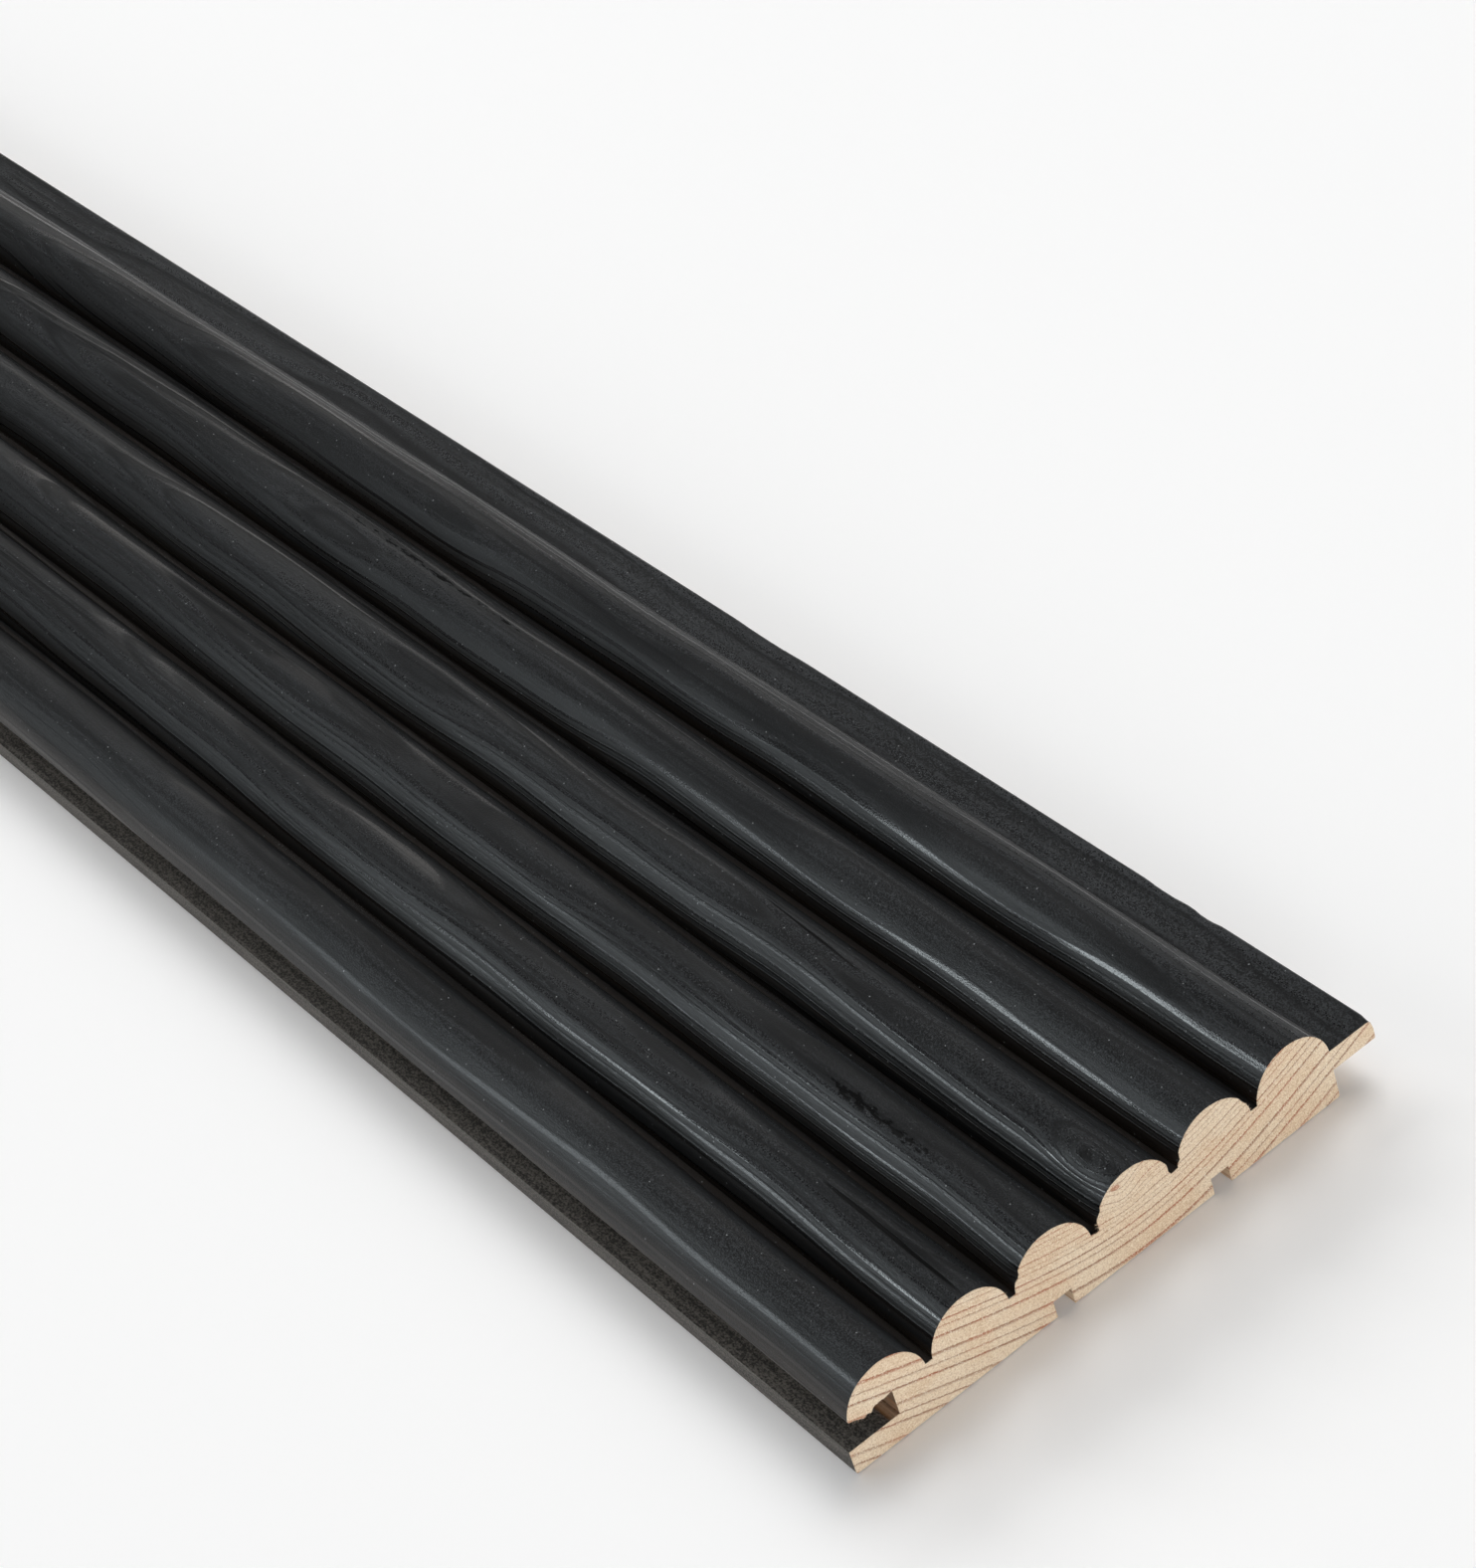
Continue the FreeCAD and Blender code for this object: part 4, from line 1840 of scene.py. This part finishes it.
@dataclass(frozen=True)
class Studio:
    """Pale floor, soft lamps, white surroundings and the photograph's camera."""

    camera_place: tuple[float, float, float] = (1.65998, -0.25608, 0.54561)
    azimuth: float = 64.82
    elevation: float = 38.63
    roll: float = -18.89
    focal_pixels: float = 4450.0
    film_side: float = 36.0
    fill: float = 0.14
    floor_shade: float = 0.975
    floor_roughness: float = 0.9
    backdrop: float = 0.96
    floor_lift: float = 0.055
    plain_floor: tuple[float, float] = (1.6, 4.5)
    floor_gap: float = 0.2
    floor_reach: float = 30.0
    lamps: tuple[Softbox, ...] = (
        Softbox("key", (1.1, 0.0, 0.0), 12.0, 55.0, 52.0, 7.0, 5.6, 5.0, LampUse.LIGHT),
        Softbox("front", (1.2, 0.0, 0.0), 5.6, -165.0, 12.0, 3.6, 2.0, 8.8, LampUse.LIGHT),
        Softbox("behind", (1.1, 0.0, 0.0), 12.8, 15.0, 27.0, 12.0, 4.8, 5.8, LampUse.LIGHT),
        Softbox("low_left", (1.1, 0.0, 0.0), 12.0, -40.0, 15.0, 7.2, 3.2, 7.0, LampUse.LIGHT),
        Softbox("sheen", (1.1, 0.0, 0.0), 3.0, 24.0, 36.0, 3.0, 1.5, 0.09, LampUse.GLOSS),
        Softbox("back_right", (0.9, 0.0, 0.0), 3.0, 33.0, 9.0, 1.4, 0.75, 0.7, LampUse.GLOSS, WARM),
        Softbox("back_left", (1.25, 0.0, 0.0), 0.7, -39.0, 28.0, 0.22, 0.14, 10.6, LampUse.GLOSS, COOL),
    )

    def build(self) -> None:
        """Adds the floor, the lamps, the surroundings and the camera."""
        self.build_floor()
        self.build_world()
        self.build_camera()
        for lamp in self.lamps:
            lamp.build()
        bpy.context.scene.view_settings.view_transform = "Standard"

    def build_floor(self) -> None:
        """A wide pale floor just under the board."""
        reach = self.floor_reach
        mesh = bpy.data.meshes.new("floor")
        height = -self.floor_gap * MM
        ways = ((-1, -1), (1, -1), (1, 1), (-1, 1))
        corners = [(x * reach, y * reach, height) for x, y in ways]
        mesh.from_pydata(corners, [], [(0, 1, 2, 3)])
        mesh.materials.append(self.floor_material())
        floor = bpy.data.objects.new("floor", mesh)
        bpy.context.scene.collection.objects.link(floor)

    def floor_material(self) -> bpy.types.Material:
        """Pale and dull, a little lighter for the camera, and plain white too far off for the lamps."""
        material = bpy.data.materials.new("floor")
        material.use_nodes = True
        tree = NodeTree(material.node_tree)
        pale = tree.socket("ShaderNodeBsdfPrincipled", {}, {
            "Base Color": opaque((self.floor_shade,) * 3), "Roughness": self.floor_roughness,
            "Specular IOR Level": 0.0,
        })
        seen = tree.value("ShaderNodeLightPath", {}, {}, "Is Camera Ray")
        glow = tree.socket("ShaderNodeEmission", {}, {"Strength": seen * self.floor_lift})
        lifted = tree.socket("ShaderNodeAddShader", {}, {0: pale, 1: glow})
        place = tree.socket("ShaderNodeTexCoord", {}, {}, "Object")
        away = tree.value("ShaderNodeVectorMath", {"operation": "LENGTH"}, {0: place}, "Value")
        white = tree.socket("ShaderNodeEmission", {}, {"Color": opaque((self.backdrop,) * 3)})
        surface = tree.socket("ShaderNodeMixShader", {}, {
            0: step(away, *self.plain_floor) * seen, 1: lifted, 2: white,
        })
        tree.node("ShaderNodeOutputMaterial", {}, {"Surface": surface})
        return material

    def build_world(self) -> None:
        """Soft light from everywhere, and white where the camera sees past the floor."""
        world = bpy.data.worlds.new("studio")
        world.use_nodes = True
        bpy.context.scene.world = world
        tree = NodeTree(world.node_tree)
        seen = tree.value("ShaderNodeLightPath", {}, {}, "Is Camera Ray")
        strength = tree.value("ShaderNodeMapRange", {}, {
            "Value": seen, "To Min": self.fill, "To Max": self.backdrop,
        })
        sky = tree.socket("ShaderNodeBackground", {}, {"Color": opaque(WHITE), "Strength": strength})
        tree.node("ShaderNodeOutputWorld", {}, {"Surface": sky})

    def build_camera(self) -> None:
        """The photograph's camera, from its place and its three angles."""
        turn, rise, roll = (math.radians(a) for a in (self.azimuth, self.elevation, self.roll))
        look = Vector((-math.sin(turn) * math.cos(rise), math.cos(turn) * math.cos(rise), -math.sin(rise)))
        level = Vector((math.cos(turn), math.sin(turn), 0.0))
        upright = level.cross(look)
        right = level * math.cos(roll) + upright * math.sin(roll)
        up = upright * math.cos(roll) - level * math.sin(roll)
        camera = bpy.data.cameras.new("camera")
        camera.sensor_width = self.film_side
        camera.lens = self.focal_pixels / max(PHOTO_WIDTH, PHOTO_HEIGHT) * self.film_side
        camera.clip_end = 200.0
        stand = bpy.data.objects.new("camera", camera)
        turned = Matrix((right, up, -look)).transposed().to_4x4()
        stand.matrix_world = Matrix.Translation(self.camera_place) @ turned
        bpy.context.scene.collection.objects.link(stand)
        bpy.context.scene.camera = stand


def main() -> None:
    """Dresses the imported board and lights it."""
    logging.basicConfig(level=logging.INFO, format="%(name)s: %(message)s")
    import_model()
    low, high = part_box(BOARD_NODE)
    rings = YearRings()
    mesh = BoardMesh(Section(), rings, half_length=(high.x - low.x) / 2 / MM)
    wood, stain = BareWood(rings), BlackStain(rings)
    sawn = SawnWood(wood).material()
    board = mesh.build()
    for finish in (stain.material(), Overspray(wood, stain).material(), sawn):
        board.data.materials.append(finish)
    pieces = [board]
    tree = FibreTree()
    for name, side in (("torn_fibres_near", 1.0), ("torn_fibres_far", -1.0)):
        pieces.append(TornFibres(mesh).build(tree, name, side, sawn))
    for piece in pieces:
        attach(piece, BODY)
        piece.data.calc_loop_triangles()
        log.info("%s: %d triangles", piece.name, len(piece.data.loop_triangles))
    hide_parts(BOARD_NODE)
    Studio().build()


if __name__ == "__main__":
    main()
